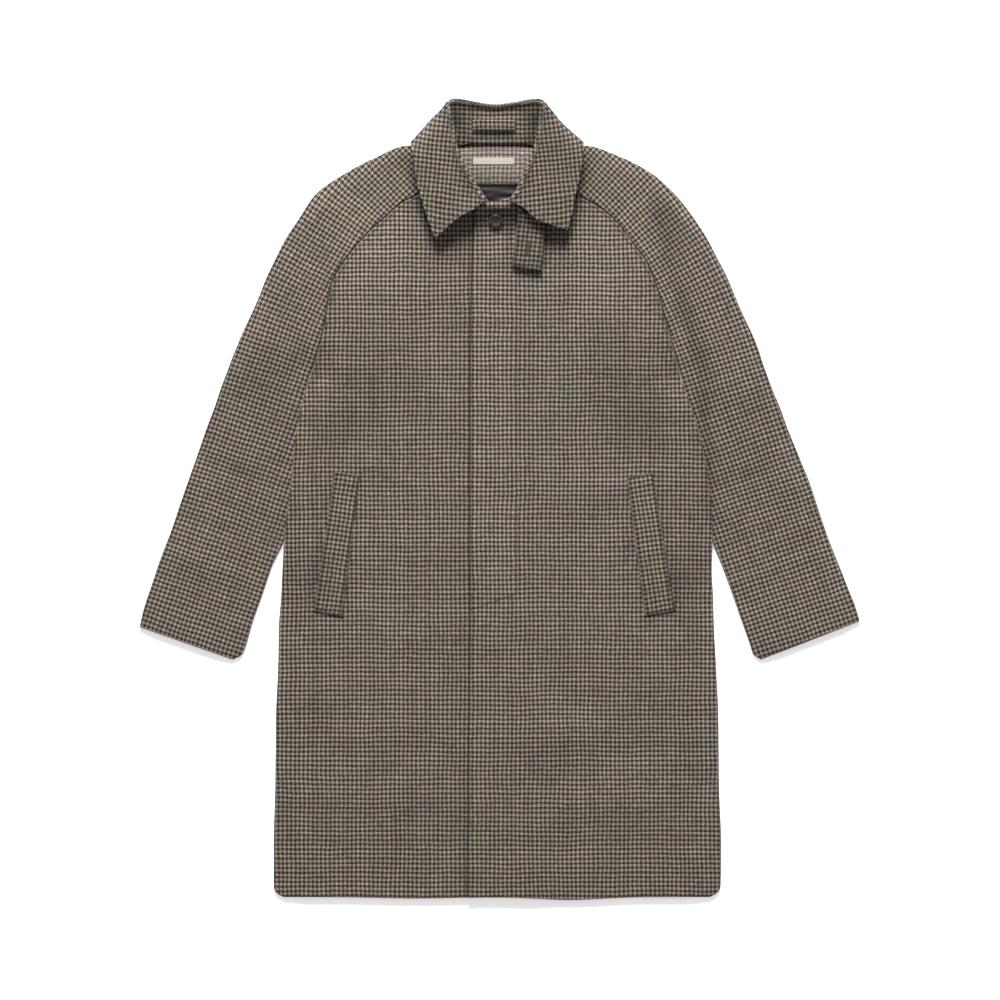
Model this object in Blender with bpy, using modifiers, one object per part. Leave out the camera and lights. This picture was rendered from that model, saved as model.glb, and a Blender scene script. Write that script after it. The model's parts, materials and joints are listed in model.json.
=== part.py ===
"""A knee-length wool raglan coat, laid flat on its back.

The coat lies in the XY plane: +X to the right as seen from above, +Y towards the collar, +Z up. All sizes
below are in millimetres and become metres when a mesh is made. Each panel is a wall of cloth, laid through
sections that run across it from edge to edge: its underside follows a height worked out from what lies
beneath, and the wall is that surface raised by the cloth's thickness.
"""

import math

import bmesh
import bpy
from mathutils import Vector
from mathutils.bvhtree import BVHTree

MM = 0.001

# The cloth and how it lies.
WALL = 2.5            # coating and lining together
COLLAR_WALL = 2.5     # two layers of coating round a canvas
SEAM = 0.3            # room between pieces that are sewn together
SEAM_ALONG_ROW = 0.45  # the same room, measured along a sleeve section, which meets the seam at a slant
EDGE_GAP = 0.4        # between front and back at a closed edge
LOFT = 2.5            # between front and back inside a panel
LOFT_RUN = 30.0       # the width over which the gap opens from a closed edge
FRONT_GAP = 0.5       # between the two fronts where they lap

# The coat's landmarks.
UNDERARM_Y = 157.0
APEX_Y = -57.0        # where the sleeve and the side of the body part
SEAM_RUN = 60.0       # the height over which front and back part above the underarm
UNDER_EDGE_X = 38.0   # the hidden edge of the under front
LAP_RUN = 40.0        # the width over which the over front rises onto the under front
NECK_Y = 320.0        # where the hidden edge starts to draw in towards the neck
NECK_RUN = 75.0       # the height over which it does
EDGE_DRAW = 20.0      # how far the hidden edge draws in
LAP_DRAW = 18.0       # how much narrower the rise gets
MIDDLE_Y = -1.03      # the middle of the coat's length, which is moved to the origin
HEM_WAVES = ((-113, 70, 2), (95, 60, 4))  # x, half width and depth of each slight wave in the hem
HEM_ROWS = 4          # the rows over which the waves fade

# Each row of the raglan seam, from the underarm to the neck. Columns: front seam x, y; back seam x, y; outer
# edge of the sleeve x, y.
RAGLAN_LEFT = (
    (-259, 157, -259, 157, -360, 194),
    (-251, 178, -251, 178, -353, 211),
    (-244, 204, -244, 204, -345, 230),
    (-239, 223, -239, 223, -338, 244),
    (-233, 255, -233, 255, -326, 271),
    (-228, 286, -228, 286, -314, 301),
    (-218, 308, -218, 308, -303, 324),
    (-202, 331, -202, 331, -290, 350),
    (-182, 354, -182, 354, -272, 377),
    (-156, 379, -156, 381, -248, 412),
    (-130, 401, -128, 408, -213, 437),
    (-112, 410, -107, 427, -172, 459),
    (-87, 424, -84, 452, -125, 477),
    (-63, 441, -62, 474, -73, 478),
)
RAGLAN_RIGHT = (
    (246, 157, 246, 157, 355, 185),
    (239, 184, 239, 184, 349, 204),
    (233, 206, 233, 206, 341, 223),
    (229, 223, 229, 223, 330, 246),
    (220, 251, 220, 251, 318, 274),
    (215, 275, 215, 275, 306, 302),
    (207, 298, 207, 298, 293, 327),
    (196, 323, 196, 323, 280, 352),
    (180, 344, 180, 344, 261, 381),
    (164, 366, 164, 368, 238, 410),
    (143, 387, 142, 396, 206, 439),
    (116, 404, 112, 421, 163, 462),
    (81, 420, 78, 450, 116, 477),
    (56, 439, 55, 474, 66, 478),
)
# The same rows across the body. Columns: y at the front edge, y at the centre back, and how the front's
# section bends, from 1, straight, to a neckline that is flat near the front edge and steep at the seam.
RAGLAN_CENTRE = (
    (157, 157, 1),
    (178, 178, 1),
    (202, 202, 1),
    (218, 220, 1),
    (244, 250, 1),
    (269, 280, 1),
    (288, 305, 1),
    (307, 330, 1),
    (325, 354, 1),
    (343, 380, 1.1),
    (358, 405, 1.3),
    (370, 430, 1.6),
    (383, 457, 2.0),
    (398, 486, 2.6),
)
# The side edges of the body below the underarm. Columns: y, left x, right x.
SIDES = (
    (-537, -292, 284),
    (-532, -301, 293),
    (-523, -305, 298),
    (-467, -305, 299),
    (-386, -303, 296),
    (-292, -302, 295),
    (-224, -299, 292),
    (-170, -298, 289),
    (-130, -295, 288),
    (-94, -293, 286),
    (-57, -291, 287),
    (-22, -287, 286.5),
    (23, -281, 282),
    (60, -278, 276),
    (94, -273, 268),
    (132, -265, 256),
)
# The sleeves below the underarm, to the cuff. Columns: outer edge x, y; inner edge x, y.
SLEEVE_LEFT = (
    (-370, 167, -266, 130),
    (-376, 151, -252, 107),
    (-384, 127, -249, 80),
    (-395, 98, -256, 50),
    (-408, 60, -270, 12),
    (-420, 26, -282, -22),
    (-432, -8, -291, -57),
    (-443, -41, -306, -89),
    (-458, -80, -320, -130),
    (-472, -122, -334, -170),
    (-480, -146, -341, -195),
    (-484, -163, -348, -211),
    (-486, -173, -360, -217),
)
SLEEVE_RIGHT = (
    (364, 160, 257, 130),
    (370, 144, 246, 107),
    (378, 125, 245, 80),
    (390, 92, 252, 50),
    (405, 56, 265, 12),
    (418, 24, 277, -22),
    (430, -12, 287, -59),
    (441, -45, 299, -89),
    (456, -84, 314, -130),
    (472, -124, 328, -170),
    (480, -144, 337, -195),
    (484, -157, 342, -210),
    (486, -165, 352, -217),
)
# The tucked part of a sleeve gives way to the open underarm between these places on its inner edge.
SLEEVE_OPEN_Y = 230.0
SLEEVE_OPEN_RUN = 70.0
# The front edge of the over front, from the hem to the neck. Columns: y, x.
FRONT_EDGE = ((-537, -43), (-271, -40), (-136, -39), (134, -39), (282, -37), (397, -33))

# The tucked part of a sleeve lies under the side of the body, which is raised over it.
TUCK_LIFT = 2 * WALL + EDGE_GAP + 0.5
TUCK_FLAT = 32.0      # the width that stays fully raised
TUCK_RUN = 55.0       # the width over which the body comes down again
TUCK_TOP_Y = 132.0    # fully raised from here down to the apex
TUCK_END_Y = -110.0   # down on the floor again

# The fall of the collar passes under the back of the neck, which is raised over it.
FALL_CENTRE = (-6.0, 512.0)
FALL_HALF = (125.0, 70.0)
FALL_LIFT = COLLAR_WALL + 0.9
FALL_RUN = 0.45       # as a share of its half size

# Soft folds in the top layer, as low ridges. Columns: from x, y; to x, y; half width; height.
FOLDS = (
    (-330, 235, -215, 40, 34, 1.1),
    (322, 240, 215, 45, 34, 1.1),
    (-420, -20, -318, 20, 30, 1.0),
    (425, -25, 312, 10, 30, 1.0),
    (-150, 330, -70, 180, 40, 0.9),
    (140, 320, 90, 150, 40, 0.9),
    (-185, -20, -170, -330, 45, 0.8),
    (190, -40, 180, -350, 45, 0.8),
)

# The collar, one half at a time, from its front end round to the centre back. Columns: base x, y; top of the
# fold x, y, z; edge of the fall x, y, z (None lies on the cloth below); direction in which the fold rolls, in
# degrees; how far the fall is tucked under, from 0 to 1; how far the middle of the fall bows outwards.
COLLAR_LEFT = (
    (-28, 398, -21, 400, 18.5, -87, 351, None, 215, 0.0, 3),
    (-32, 401, -32, 417, 21, -95, 373, None, 205, 0.0, 0),
    (-46, 413, -45, 438, 24, -104, 400, None, 195, 0.0, 0),
    (-58, 430, -56, 459, 27, -111, 425, None, 188, 0.0, 0),
    (-65, 447, -63, 480, 29, -115, 450, None, 182, 0.0, 0),
    (-69, 461, -66, 503, 31, -117, 467, None, 178, 0.0, 0),
    (-71, 468, -68.5, 519, 32, -119, 476, 13.0, 170, 0.1, 0),
    (-71, 474, -69.5, 527.5, 32, -120.5, 481.5, 11.0, 153, 0.35, 2),
    (-68, 478, -66.5, 532.5, 31, -120.5, 481.8, 2.6, 130, 0.6, 3),
    (-61, 478, -60, 534, 29, -117, 476.5, 1.25, 107, 0.85, 0),
    (-50, 478, -49, 533, 25.5, -103, 464, 1.25, 95, 1.0, 0),
    (-36, 480, -34, 530.5, 20, -77, 452, 1.25, 92, 1.0, 0),
    (-6, 480, -6, 527.5, 15, -6, 444, 1.25, 90, 1.0, 0),
)
COLLAR_RIGHT = (
    (24, 398, 16, 400, 18.5, 91, 362, None, -35, 0.0, 6),
    (26, 400, 27, 416, 21, 97, 383, None, -25, 0.0, 2),
    (38, 412, 35.5, 436, 24, 101, 406, None, -15, 0.0, 0),
    (50, 429, 45, 457, 27, 106, 427, None, -8, 0.0, 0),
    (57, 446, 52, 480, 29, 110, 449, None, -2, 0.0, 0),
    (61, 460, 56, 503, 31, 112, 465, None, 2, 0.0, 0),
    (63, 467, 58, 519, 32, 112.5, 475, 13.0, 10, 0.1, 0),
    (63, 473, 59, 527.5, 32, 114, 481, 11.0, 27, 0.35, 0),
    (60, 477, 56, 532.5, 31, 114, 481.3, 2.6, 50, 0.6, 0),
    (53, 478, 49.5, 534, 29, 110, 476, 1.25, 73, 0.85, 0),
    (42, 478, 37, 533, 25.5, 95, 463, 1.25, 85, 1.0, 0),
    (27, 480, 22, 530.5, 20, 68, 452, 1.25, 88, 1.0, 0),
)
ROLL = 3.6            # radius of the collar's fold
STAND_RISE = 2.1      # from the cloth below to the middle of the stand's lower edge
LEAF_RISE = 3.4       # from the cloth below to the middle of the fall's edge
LYING = COLLAR_WALL / 2 + 0.1  # the middle of the collar's wall where the fall lies on the floor

# Small pieces.
LAID_GAP = 0.45       # between a piece and the cloth it lies on
WELT_WALL = 2.0
WELT_LEFT = ((-222, 38), (-189, 31), (-211, -160), (-251, -151))
WELT_RIGHT = ((172, 28), (206, 35), (237, -151), (196, -158))
TAB_WALL = 2.2
TAB = ((25, 390), (62, 380), (57, 305), (16, 313))
FACING_WALL = 1.4
FACING = ((-58, 472), (51, 472), (35, 424), (-46, 424))
LINING_WALL = 1.0
LINING = ((-44, 423), (33, 423), (26, 384), (-30, 384))
LABEL_WALL = 0.6
LABEL = ((-36, 460), (19.5, 460), (19.5, 451), (-36, 451))
LOOP_WALL = 2.0
LOOP = ((-37, 509), (21, 509), (21, 497), (-37, 497))
LOOP_BOW = 2.2
BUTTON_CENTRE = (-5.3, 375.3)
BUTTON_RADIUS = 9.4
BUTTON_HEIGHT = 3.4
BUTTON_RIM = 1.5
BUTTON_WELL = 6.2     # radius of the sunk middle
BUTTON_SUNK = 0.9
HOLE_RADIUS = 1.0
HOLE_PITCH = 3.6

# Colours, linear.
CHECK = (0.105, 0.082, 0.062)
CHARCOAL = (0.012, 0.012, 0.013)
CREAM = (0.62, 0.57, 0.47)
HORN = (0.028, 0.021, 0.015)


def smooth(t):
    """0 below 0, 1 above 1, and an even rise between."""
    t = min(1.0, max(0.0, t))
    return t * t * (3 - 2 * t)


def between(a, b, t):
    return tuple(p + (q - p) * t for p, q in zip(a, b))


def read_column(table, key):
    """The value at key in a table of (key, value) rows, straight between rows."""
    for (k0, v0), (k1, v1) in zip(table, table[1:]):
        if key <= k1:
            return v0 + (v1 - v0) * max(0.0, (key - k0) / (k1 - k0))
    return table[-1][1]


# ---------------------------------------------------------------- heights

def fall_lift(x, y):
    """How far the cloth is raised where the fall of the collar lies beneath it."""
    r = math.hypot((x - FALL_CENTRE[0]) / FALL_HALF[0], (y - FALL_CENTRE[1]) / FALL_HALF[1])
    return FALL_LIFT * (1 - smooth((r - 1.05) / FALL_RUN))


def side_x(y, side):
    rows = [(row[0], row[1 if side < 0 else 2]) for row in SIDES]
    rows.append((UNDERARM_Y, (RAGLAN_LEFT if side < 0 else RAGLAN_RIGHT)[0][0]))
    return read_column(rows, y)


def tuck_lift(x, y):
    """How far the side of the body is raised over the tucked part of the sleeve."""
    along = smooth((UNDERARM_Y - y) / (UNDERARM_Y - TUCK_TOP_Y))
    along *= smooth((y - TUCK_END_Y) / (APEX_Y - TUCK_END_Y))
    if along <= 0:
        return 0.0
    side = -1 if x < 0 else 1
    inward = side * (side_x(y, side) - x)
    return TUCK_LIFT * along * (1 - smooth((inward - TUCK_FLAT) / TUCK_RUN))


def folds(x, y):
    """The soft ridges of the top layer."""
    height = 0.0
    for x0, y0, x1, y1, half, top in FOLDS:
        run = Vector((x1 - x0, y1 - y0))
        at = Vector((x - x0, y - y0))
        along = at.dot(run) / run.length_squared
        off = abs(at.cross(run)) / run.length
        ends = smooth(along / 0.25) * smooth((1 - along) / 0.25)
        height += top * ends * math.exp(-(off / half) ** 2)
    return height


def seam_opening(y):
    """0 at the underarm, where front and back meet, and 1 up the raglan seam."""
    return smooth((y - UNDERARM_Y) / SEAM_RUN)


def back_low(x, y):
    return fall_lift(x, y) + tuck_lift(x, y)


def front_low(x, y):
    side = -1 if x < 0 else 1
    inward = side * (side_x(y, side) - x) if y < UNDERARM_Y else 0.0
    open_ = max(seam_opening(y), smooth(inward / LOFT_RUN))
    if UNDERARM_Y <= y < UNDERARM_Y + SEAM_RUN:
        seam = RAGLAN_LEFT[2] if side < 0 else RAGLAN_RIGHT[2]
        open_ = max(open_, smooth((abs(seam[0]) - abs(x)) / LOFT_RUN))
    gap = EDGE_GAP + (LOFT - EDGE_GAP) * open_
    return back_low(x, y) + WALL + gap + folds(x, y) * open_


def under_edge_x(y):
    """The hidden edge of the under front draws in towards the neck."""
    return UNDER_EDGE_X - EDGE_DRAW * smooth((y - NECK_Y) / NECK_RUN)


def lap_end_x(y):
    """Where the over front starts to rise towards the under front's edge."""
    return under_edge_x(y) + LAP_RUN - LAP_DRAW * smooth((y - NECK_Y) / NECK_RUN)


def over_low(x, y):
    """The over front rises by one wall where it laps the under front."""
    lap = 1 - smooth((x - under_edge_x(y)) / (lap_end_x(y) - under_edge_x(y)))
    return front_low(x, y) + (WALL + FRONT_GAP) * lap


def sleeve_gap(share, flat):
    """The gap between the sleeve's halves; share runs from the inner edge, 0, to the outer edge, 1."""
    if flat > 0:
        inner = smooth((share - 0.2) / 0.2)
    else:
        inner = smooth(share / 0.2)
    return inner * smooth((1 - share) / 0.2)


# ---------------------------------------------------------------- meshes

def grid_mesh(rows):
    """An open surface through rows of points, made from a flat grid."""
    across, along = len(rows[0]) - 1, len(rows) - 1
    bm = bmesh.new()
    bmesh.ops.create_grid(bm, x_segments=across, y_segments=along, size=0.5)
    for v in bm.verts:
        i = round((v.co.x + 0.5) * across)
        j = round((v.co.y + 0.5) * along)
        v.co = Vector(rows[j][i]) * MM
    return bm


def finish(bm, name, colour, roughness):
    bmesh.ops.recalc_face_normals(bm, faces=bm.faces)
    mesh = bpy.data.meshes.new(name)
    bm.to_mesh(mesh)
    bm.free()
    return place(name, mesh, colour, roughness)


def place(name, mesh, colour, roughness):
    """The object for a mesh, in the coat's collection, with a material of its own."""
    obj = bpy.data.objects.new(name, mesh)
    coat.objects.link(obj)
    material = bpy.data.materials.new(name)
    material.use_nodes = True
    shader = material.node_tree.nodes["Principled BSDF"]
    shader.inputs["Base Color"].default_value = (*colour, 1)
    shader.inputs["Roughness"].default_value = roughness
    shader.inputs["Metallic"].default_value = 0
    obj.data.materials.append(material)
    return obj


def cloth(name, rows, low, wall, colour=CHECK, roughness=0.9):
    """A wall of cloth over plan rows: its underside at low(x, y), its top one wall higher."""
    bm = grid_mesh([[(x, y, low(x, y)) for x, y in row] for row in rows])
    bm.normal_update()
    raised = bmesh.ops.extrude_face_region(bm, geom=list(bm.faces))
    for item in raised["geom"]:
        if isinstance(item, bmesh.types.BMVert):
            item.co.z += wall * MM
    return finish(bm, name, colour, roughness)


def surface_of(obj):
    """The object's outer surface, to lay other pieces on."""
    bpy.context.view_layer.update()
    return BVHTree.FromObject(obj, bpy.context.evaluated_depsgraph_get())


def top_at(x, y, surfaces, missing=0.0):
    """The height of the highest of some surfaces at a place in plan."""
    best = missing
    for tree in surfaces:
        hit = tree.ray_cast(Vector((x * MM, y * MM, 1.0)), Vector((0, 0, -1)))[0]
        if hit is not None:
            best = max(best, hit.z / MM)
    return best


def patch_rows(corners, across, along):
    """Rows of plan points over a four-cornered patch, given from its top left clockwise."""
    top_left, top_right, low_right, low_left = corners
    rows = []
    for j in range(along + 1):
        left = between(low_left, top_left, j / along)
        right = between(low_right, top_right, j / along)
        rows.append([between(left, right, i / across) for i in range(across + 1)])
    return rows


# ---------------------------------------------------------------- panels

BODY_SHARES = (0, 32, 50, 68, 87)   # columns near a side edge, by their distance from it


def body_columns(outer, inner, far_columns):
    """Column places along a body section, denser over the tucked sleeve, as shares of the section."""
    width = abs(inner - outer)
    near = [d / width for d in BODY_SHARES if d < 0.6 * width]
    while len(near) < len(BODY_SHARES):
        near = [0.6 * k / (len(BODY_SHARES) - 1) for k in range(len(BODY_SHARES))]
    last = near[-1]
    return near + [last + (1 - last) * k / far_columns for k in range(1, far_columns + 1)]


def hem_wave(x, row):
    """The hem's slight waves; row 0 is the hem, and they fade over the next rows."""
    drop = sum(depth * math.exp(-(((x - at) / half) ** 2)) for at, half, depth in HEM_WAVES)
    return -drop * max(0.0, 1 - row / HEM_ROWS)


def front_rows(side, inner_x, columns):
    """Sections of one front, from the hem to the neck, each from its outer edge to its front edge."""
    raglan = RAGLAN_LEFT if side < 0 else RAGLAN_RIGHT
    ends = [((row[1 if side < 0 else 2], row[0]), row[0], 1) for row in SIDES]
    ends += [((seam[0], seam[1]), centre[0], centre[2]) for seam, centre in zip(raglan, RAGLAN_CENTRE)]
    rows = []
    for k, (outer, y, bend) in enumerate(ends):
        row = []
        for share in columns(outer[0], inner_x(y), y):
            x = outer[0] + (inner_x(y) - outer[0]) * share
            row.append((x, y + (outer[1] - y) * (1 - share) ** bend + hem_wave(x, k)))
        rows.append(row)
    return rows


def over_columns(outer, inner, y):
    """Columns of the over front, with one on each side of the step over the under front's edge."""
    edge, end = under_edge_x(y), lap_end_x(y)
    start = (outer - end) / (outer - inner)
    near = [start * share for share in body_columns(outer, end, 3)]
    lap = (outer - edge) / (outer - inner)
    return near + [(start + lap) / 2, lap, (lap + 1) / 2, 1]


def back_rows():
    """Sections of the back, from side to side through the centre."""
    rows = []
    body = [((row[1], row[0]), (row[2], row[0]), row[0]) for row in SIDES]
    body += [
        ((left[2], left[3]), (right[2], right[3]), centre[1])
        for left, right, centre in zip(RAGLAN_LEFT, RAGLAN_RIGHT, RAGLAN_CENTRE)
    ]
    for k, (left, right, y) in enumerate(body):
        centre = (0.0, y)
        row = [between(left, centre, s) for s in body_columns(left[0], 0, 3)]
        row += [between(right, centre, s) for s in body_columns(right[0], 0, 3)][-2::-1]
        rows.append([(x, at_y + hem_wave(x, k)) for x, at_y in row])
    return rows


SLEEVE_SHARES = (0, 0.2, 0.4, 0.6, 0.8, 1)


def sleeve(side, half):
    """One half of a sleeve: its sections run from the inner edge to the outer edge, neck to cuff."""
    where = "left" if side < 0 else "right"
    raglan = RAGLAN_LEFT if side < 0 else RAGLAN_RIGHT
    first = 0 if half == "front" else 2
    ends = [((row[first], row[first + 1]), (row[4], row[5])) for row in reversed(raglan)]
    ends += [((row[2], row[3]), (row[0], row[1])) for row in (SLEEVE_LEFT if side < 0 else SLEEVE_RIGHT)]
    rows = []
    heights = {}
    for inner, outer in ends:
        length = math.dist(inner, outer)
        tucked = smooth((inner[1] - TUCK_END_Y) / (APEX_Y - TUCK_END_Y))
        tucked *= smooth((SLEEVE_OPEN_Y - inner[1]) / SLEEVE_OPEN_RUN)
        row = []
        for share in SLEEVE_SHARES:
            point = between(inner, outer, share + (1 - share) * SEAM_ALONG_ROW / length)
            row.append(point)
            low = fall_lift(*point)
            if half == "front":
                open_ = sleeve_gap(share, tucked)
                if share < 0.5:
                    open_ = max(open_, seam_opening(inner[1]) if inner[1] > UNDERARM_Y else 0.0)
                low += WALL + EDGE_GAP + (LOFT - EDGE_GAP + folds(*point)) * open_
            heights[point] = low
        rows.append(row)
    return cloth(f"sleeve_{half}_{where}", rows, lambda x, y: heights[(x, y)], WALL)


# ---------------------------------------------------------------- collar

def curve_through(points, steps):
    """A smooth curve through points in space, with some steps for each stretch."""
    ends = [2 * points[0] - points[1], *points, 2 * points[-1] - points[-2]]
    out = []
    for k in range(1, len(ends) - 2):
        p0, p1, p2, p3 = ends[k - 1: k + 3]
        for i in range(steps[k - 1]):
            t = i / steps[k - 1]
            square = 2 * p0 - 5 * p1 + 4 * p2 - p3
            cube = 3 * p1 - p0 - 3 * p2 + p3
            out.append(0.5 * (2 * p1 + (p2 - p0) * t + square * t ** 2 + cube * t ** 3))
    out.append(points[-1].copy())
    return out


def collar_section(station, surfaces):
    """One section of the collar: from its base up the stand, over the fold and down the fall."""
    base_x, base_y, fold_x, fold_y, fold_z, edge_x, edge_y, edge_z, roll_angle, tucked, bow = station
    roll = Vector((math.cos(math.radians(roll_angle)), math.sin(math.radians(roll_angle)), 0))
    around = [(0, 0), (3, 0), (-3, 0), (0, 3), (0, -3)]
    carried = max(top_at(base_x + dx, base_y + dy, surfaces) for dx, dy in around)
    carried = max(carried, fall_lift(base_x, base_y) + WALL)
    base = Vector((base_x, base_y, carried + STAND_RISE))
    fold = Vector((fold_x, fold_y, fold_z))
    if edge_z is None:
        edge_z = top_at(edge_x, edge_y, surfaces) + LEAF_RISE
    edge = Vector((edge_x, edge_y, edge_z))
    inside = fold - roll * ROLL - Vector((0, 0, 0.9 * ROLL))
    outside = fold + roll * ROLL - Vector((0, 0, (0.5 + 0.4 * tucked) * ROLL))
    stand = base.lerp(inside, 0.5)
    middle = fold.lerp(edge, 0.5 - 0.08 * tucked)
    across = Vector((edge.y - fold.y, fold.x - edge.x, 0)).normalized()
    middle += across * bow * (1 if across.dot(roll) + 0.5 * (across.y < 0) > 0 else -1)
    middle.z = (middle.z + 1.0) * (1 - tucked) + LYING * tucked
    below = fold.lerp(edge, 0.2) + roll * ROLL * 0.6
    below.z = (outside.z * 0.6 + middle.z * 0.4) * (1 - tucked) + (fold_z - 2.6 * ROLL) * tucked
    return curve_through([base, stand, inside, fold, outside, below, middle, edge], (1, 2, 2, 2, 2, 2, 3))


def make_collar(surfaces):
    """The whole collar, as one folded wall lofted through its sections from end to end."""
    stations = [*COLLAR_LEFT, *reversed(COLLAR_RIGHT)]
    sections = [collar_section(station, surfaces) for station in stations]
    steps = (2,) * (len(sections) - 1)
    lengthwise = [curve_through(points, steps) for points in zip(*sections)]
    rows = [list(row) for row in zip(*lengthwise)]
    for row in rows:
        for point in row:
            point.z = max(point.z, LYING)
    obj = finish(grid_mesh(rows), "collar", CHECK, 0.9)
    thick = obj.modifiers.new("wall", "SOLIDIFY")
    thick.thickness = COLLAR_WALL * MM
    thick.offset = 0
    return obj


# ---------------------------------------------------------------- small pieces

def laid_on(name, corners, surfaces, wall, across, along, colour=CHECK, roughness=0.9, bow=0.0):
    """A flat piece laid on surfaces, made from their points moved out; bow raises its middle."""
    rows = patch_rows(corners, across, along)
    middle = sum(c[0] for c in corners) / 4
    half = max(abs(c[0] - middle) for c in corners)

    def low(x, y):
        arch = bow * smooth(2 * (1 - abs(x - middle) / half))
        return top_at(x, y, surfaces) + LAID_GAP + arch

    return cloth(name, rows, low, wall, colour, roughness)


def button(surfaces):
    """A turned four-hole button with a raised rim."""
    x, y = BUTTON_CENTRE
    angles = [k * math.pi / 4 for k in range(8)]
    rim = [(x + BUTTON_RADIUS * math.cos(a), y + BUTTON_RADIUS * math.sin(a)) for a in angles]
    floor = max(top_at(at_x, at_y, surfaces) for at_x, at_y in rim) + SEAM
    profile = (
        (0, BUTTON_HEIGHT - BUTTON_SUNK),
        (BUTTON_WELL, BUTTON_HEIGHT - BUTTON_SUNK),
        (BUTTON_WELL + 0.8, BUTTON_HEIGHT - 0.1),
        (BUTTON_RADIUS - 1.0, BUTTON_HEIGHT),
        (BUTTON_RADIUS, BUTTON_HEIGHT - 1.0),
        (BUTTON_RADIUS - 0.3, BUTTON_RIM),
        (BUTTON_RADIUS - 2.0, 0.2),
        (0, 0),
    )
    mesh = bpy.data.meshes.new("button_neck")
    edges = [(k, k + 1) for k in range(len(profile) - 1)]
    mesh.from_pydata([(r * MM, 0, z * MM) for r, z in profile], edges, [])
    obj = place("button_neck", mesh, HORN, 0.35)
    obj.location = (x * MM, y * MM, floor * MM)
    turn = obj.modifiers.new("turned", "SCREW")
    turn.steps = turn.render_steps = 32
    turn.use_merge_vertices = True
    turn.merge_threshold = 0.00001
    turn.use_normal_calculate = True
    bm = bmesh.new()
    for dx in (-0.5, 0.5):
        for dy in (-0.5, 0.5):
            made = bmesh.ops.create_cone(
                bm, cap_ends=True, segments=10, radius1=HOLE_RADIUS * MM, radius2=HOLE_RADIUS * MM,
                depth=4 * BUTTON_HEIGHT * MM,
            )
            bmesh.ops.translate(bm, verts=made["verts"], vec=(dx * HOLE_PITCH * MM, dy * HOLE_PITCH * MM, 0))
    holes = bpy.data.meshes.new("button_holes")
    bm.to_mesh(holes)
    bm.free()
    cutter = bpy.data.objects.new("button_holes", holes)
    cutter.location = obj.location
    cutter.hide_render = True
    cutter.display_type = "WIRE"
    cutters.objects.link(cutter)
    cut = obj.modifiers.new("holes", "BOOLEAN")
    cut.operation = "DIFFERENCE"
    cut.object = cutter
    return obj


# ---------------------------------------------------------------- the coat

for old in list(bpy.data.objects):
    bpy.data.objects.remove(old, do_unlink=True)
coat = bpy.data.collections.new("wool_raglan_coat")
cutters = bpy.data.collections.new("cutters")
bpy.context.scene.collection.children.link(coat)
bpy.context.scene.collection.children.link(cutters)

back = cloth("back_panel", back_rows(), back_low, WALL)
under = cloth(
    "front_under",
    front_rows(-1, under_edge_x, lambda outer, inner, y: body_columns(outer, inner, 4)),
    front_low,
    WALL,
)
over = cloth("front_over", front_rows(1, lambda y: read_column(FRONT_EDGE, y), over_columns), over_low, WALL)
sleeves = [sleeve(side, half) for side in (-1, 1) for half in ("back", "front")]

top_layer = [surface_of(obj) for obj in (under, over, sleeves[1], sleeves[3], back)]
collar = make_collar(top_layer)

facing = laid_on("back_neck_facing", FACING, [surface_of(back)], FACING_WALL, 8, 4)
laid_on("back_lining", LINING, [surface_of(back)], LINING_WALL, 6, 4, CHARCOAL, 0.4)
laid_on("label", LABEL, [surface_of(facing)], LABEL_WALL, 2, 1, CREAM, 0.7)
laid_on("pocket_welt_left", WELT_LEFT, [surface_of(under)], WELT_WALL, 2, 6)
laid_on("pocket_welt_right", WELT_RIGHT, [surface_of(over)], WELT_WALL, 2, 6)
laid_on("throat_tab", TAB, [surface_of(over)], TAB_WALL, 6, 6)
laid_on("hanger_loop", LOOP, [surface_of(collar)], LOOP_WALL, 8, 1, bow=LOOP_BOW)
button([surface_of(over)])

for obj in [*coat.objects, *cutters.objects]:
    obj.location.y -= MIDDLE_Y * MM
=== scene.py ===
# %% [markdown]
# # A wool raglan coat, laid flat
# The coat is a set of cloth panels that lie on each other. The frame gives each panel as a plain solid; here each
# one is made again as a finer shell on the same form, with rounded edges, soft creases, its woven check and its
# sewing. The frame is loaded first, because every piece is placed in it and rides on its one body.

import json
import math
from functools import partial

import bmesh
import bpy
from mathutils import Matrix, Vector
from mathutils.bvhtree import BVHTree

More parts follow.
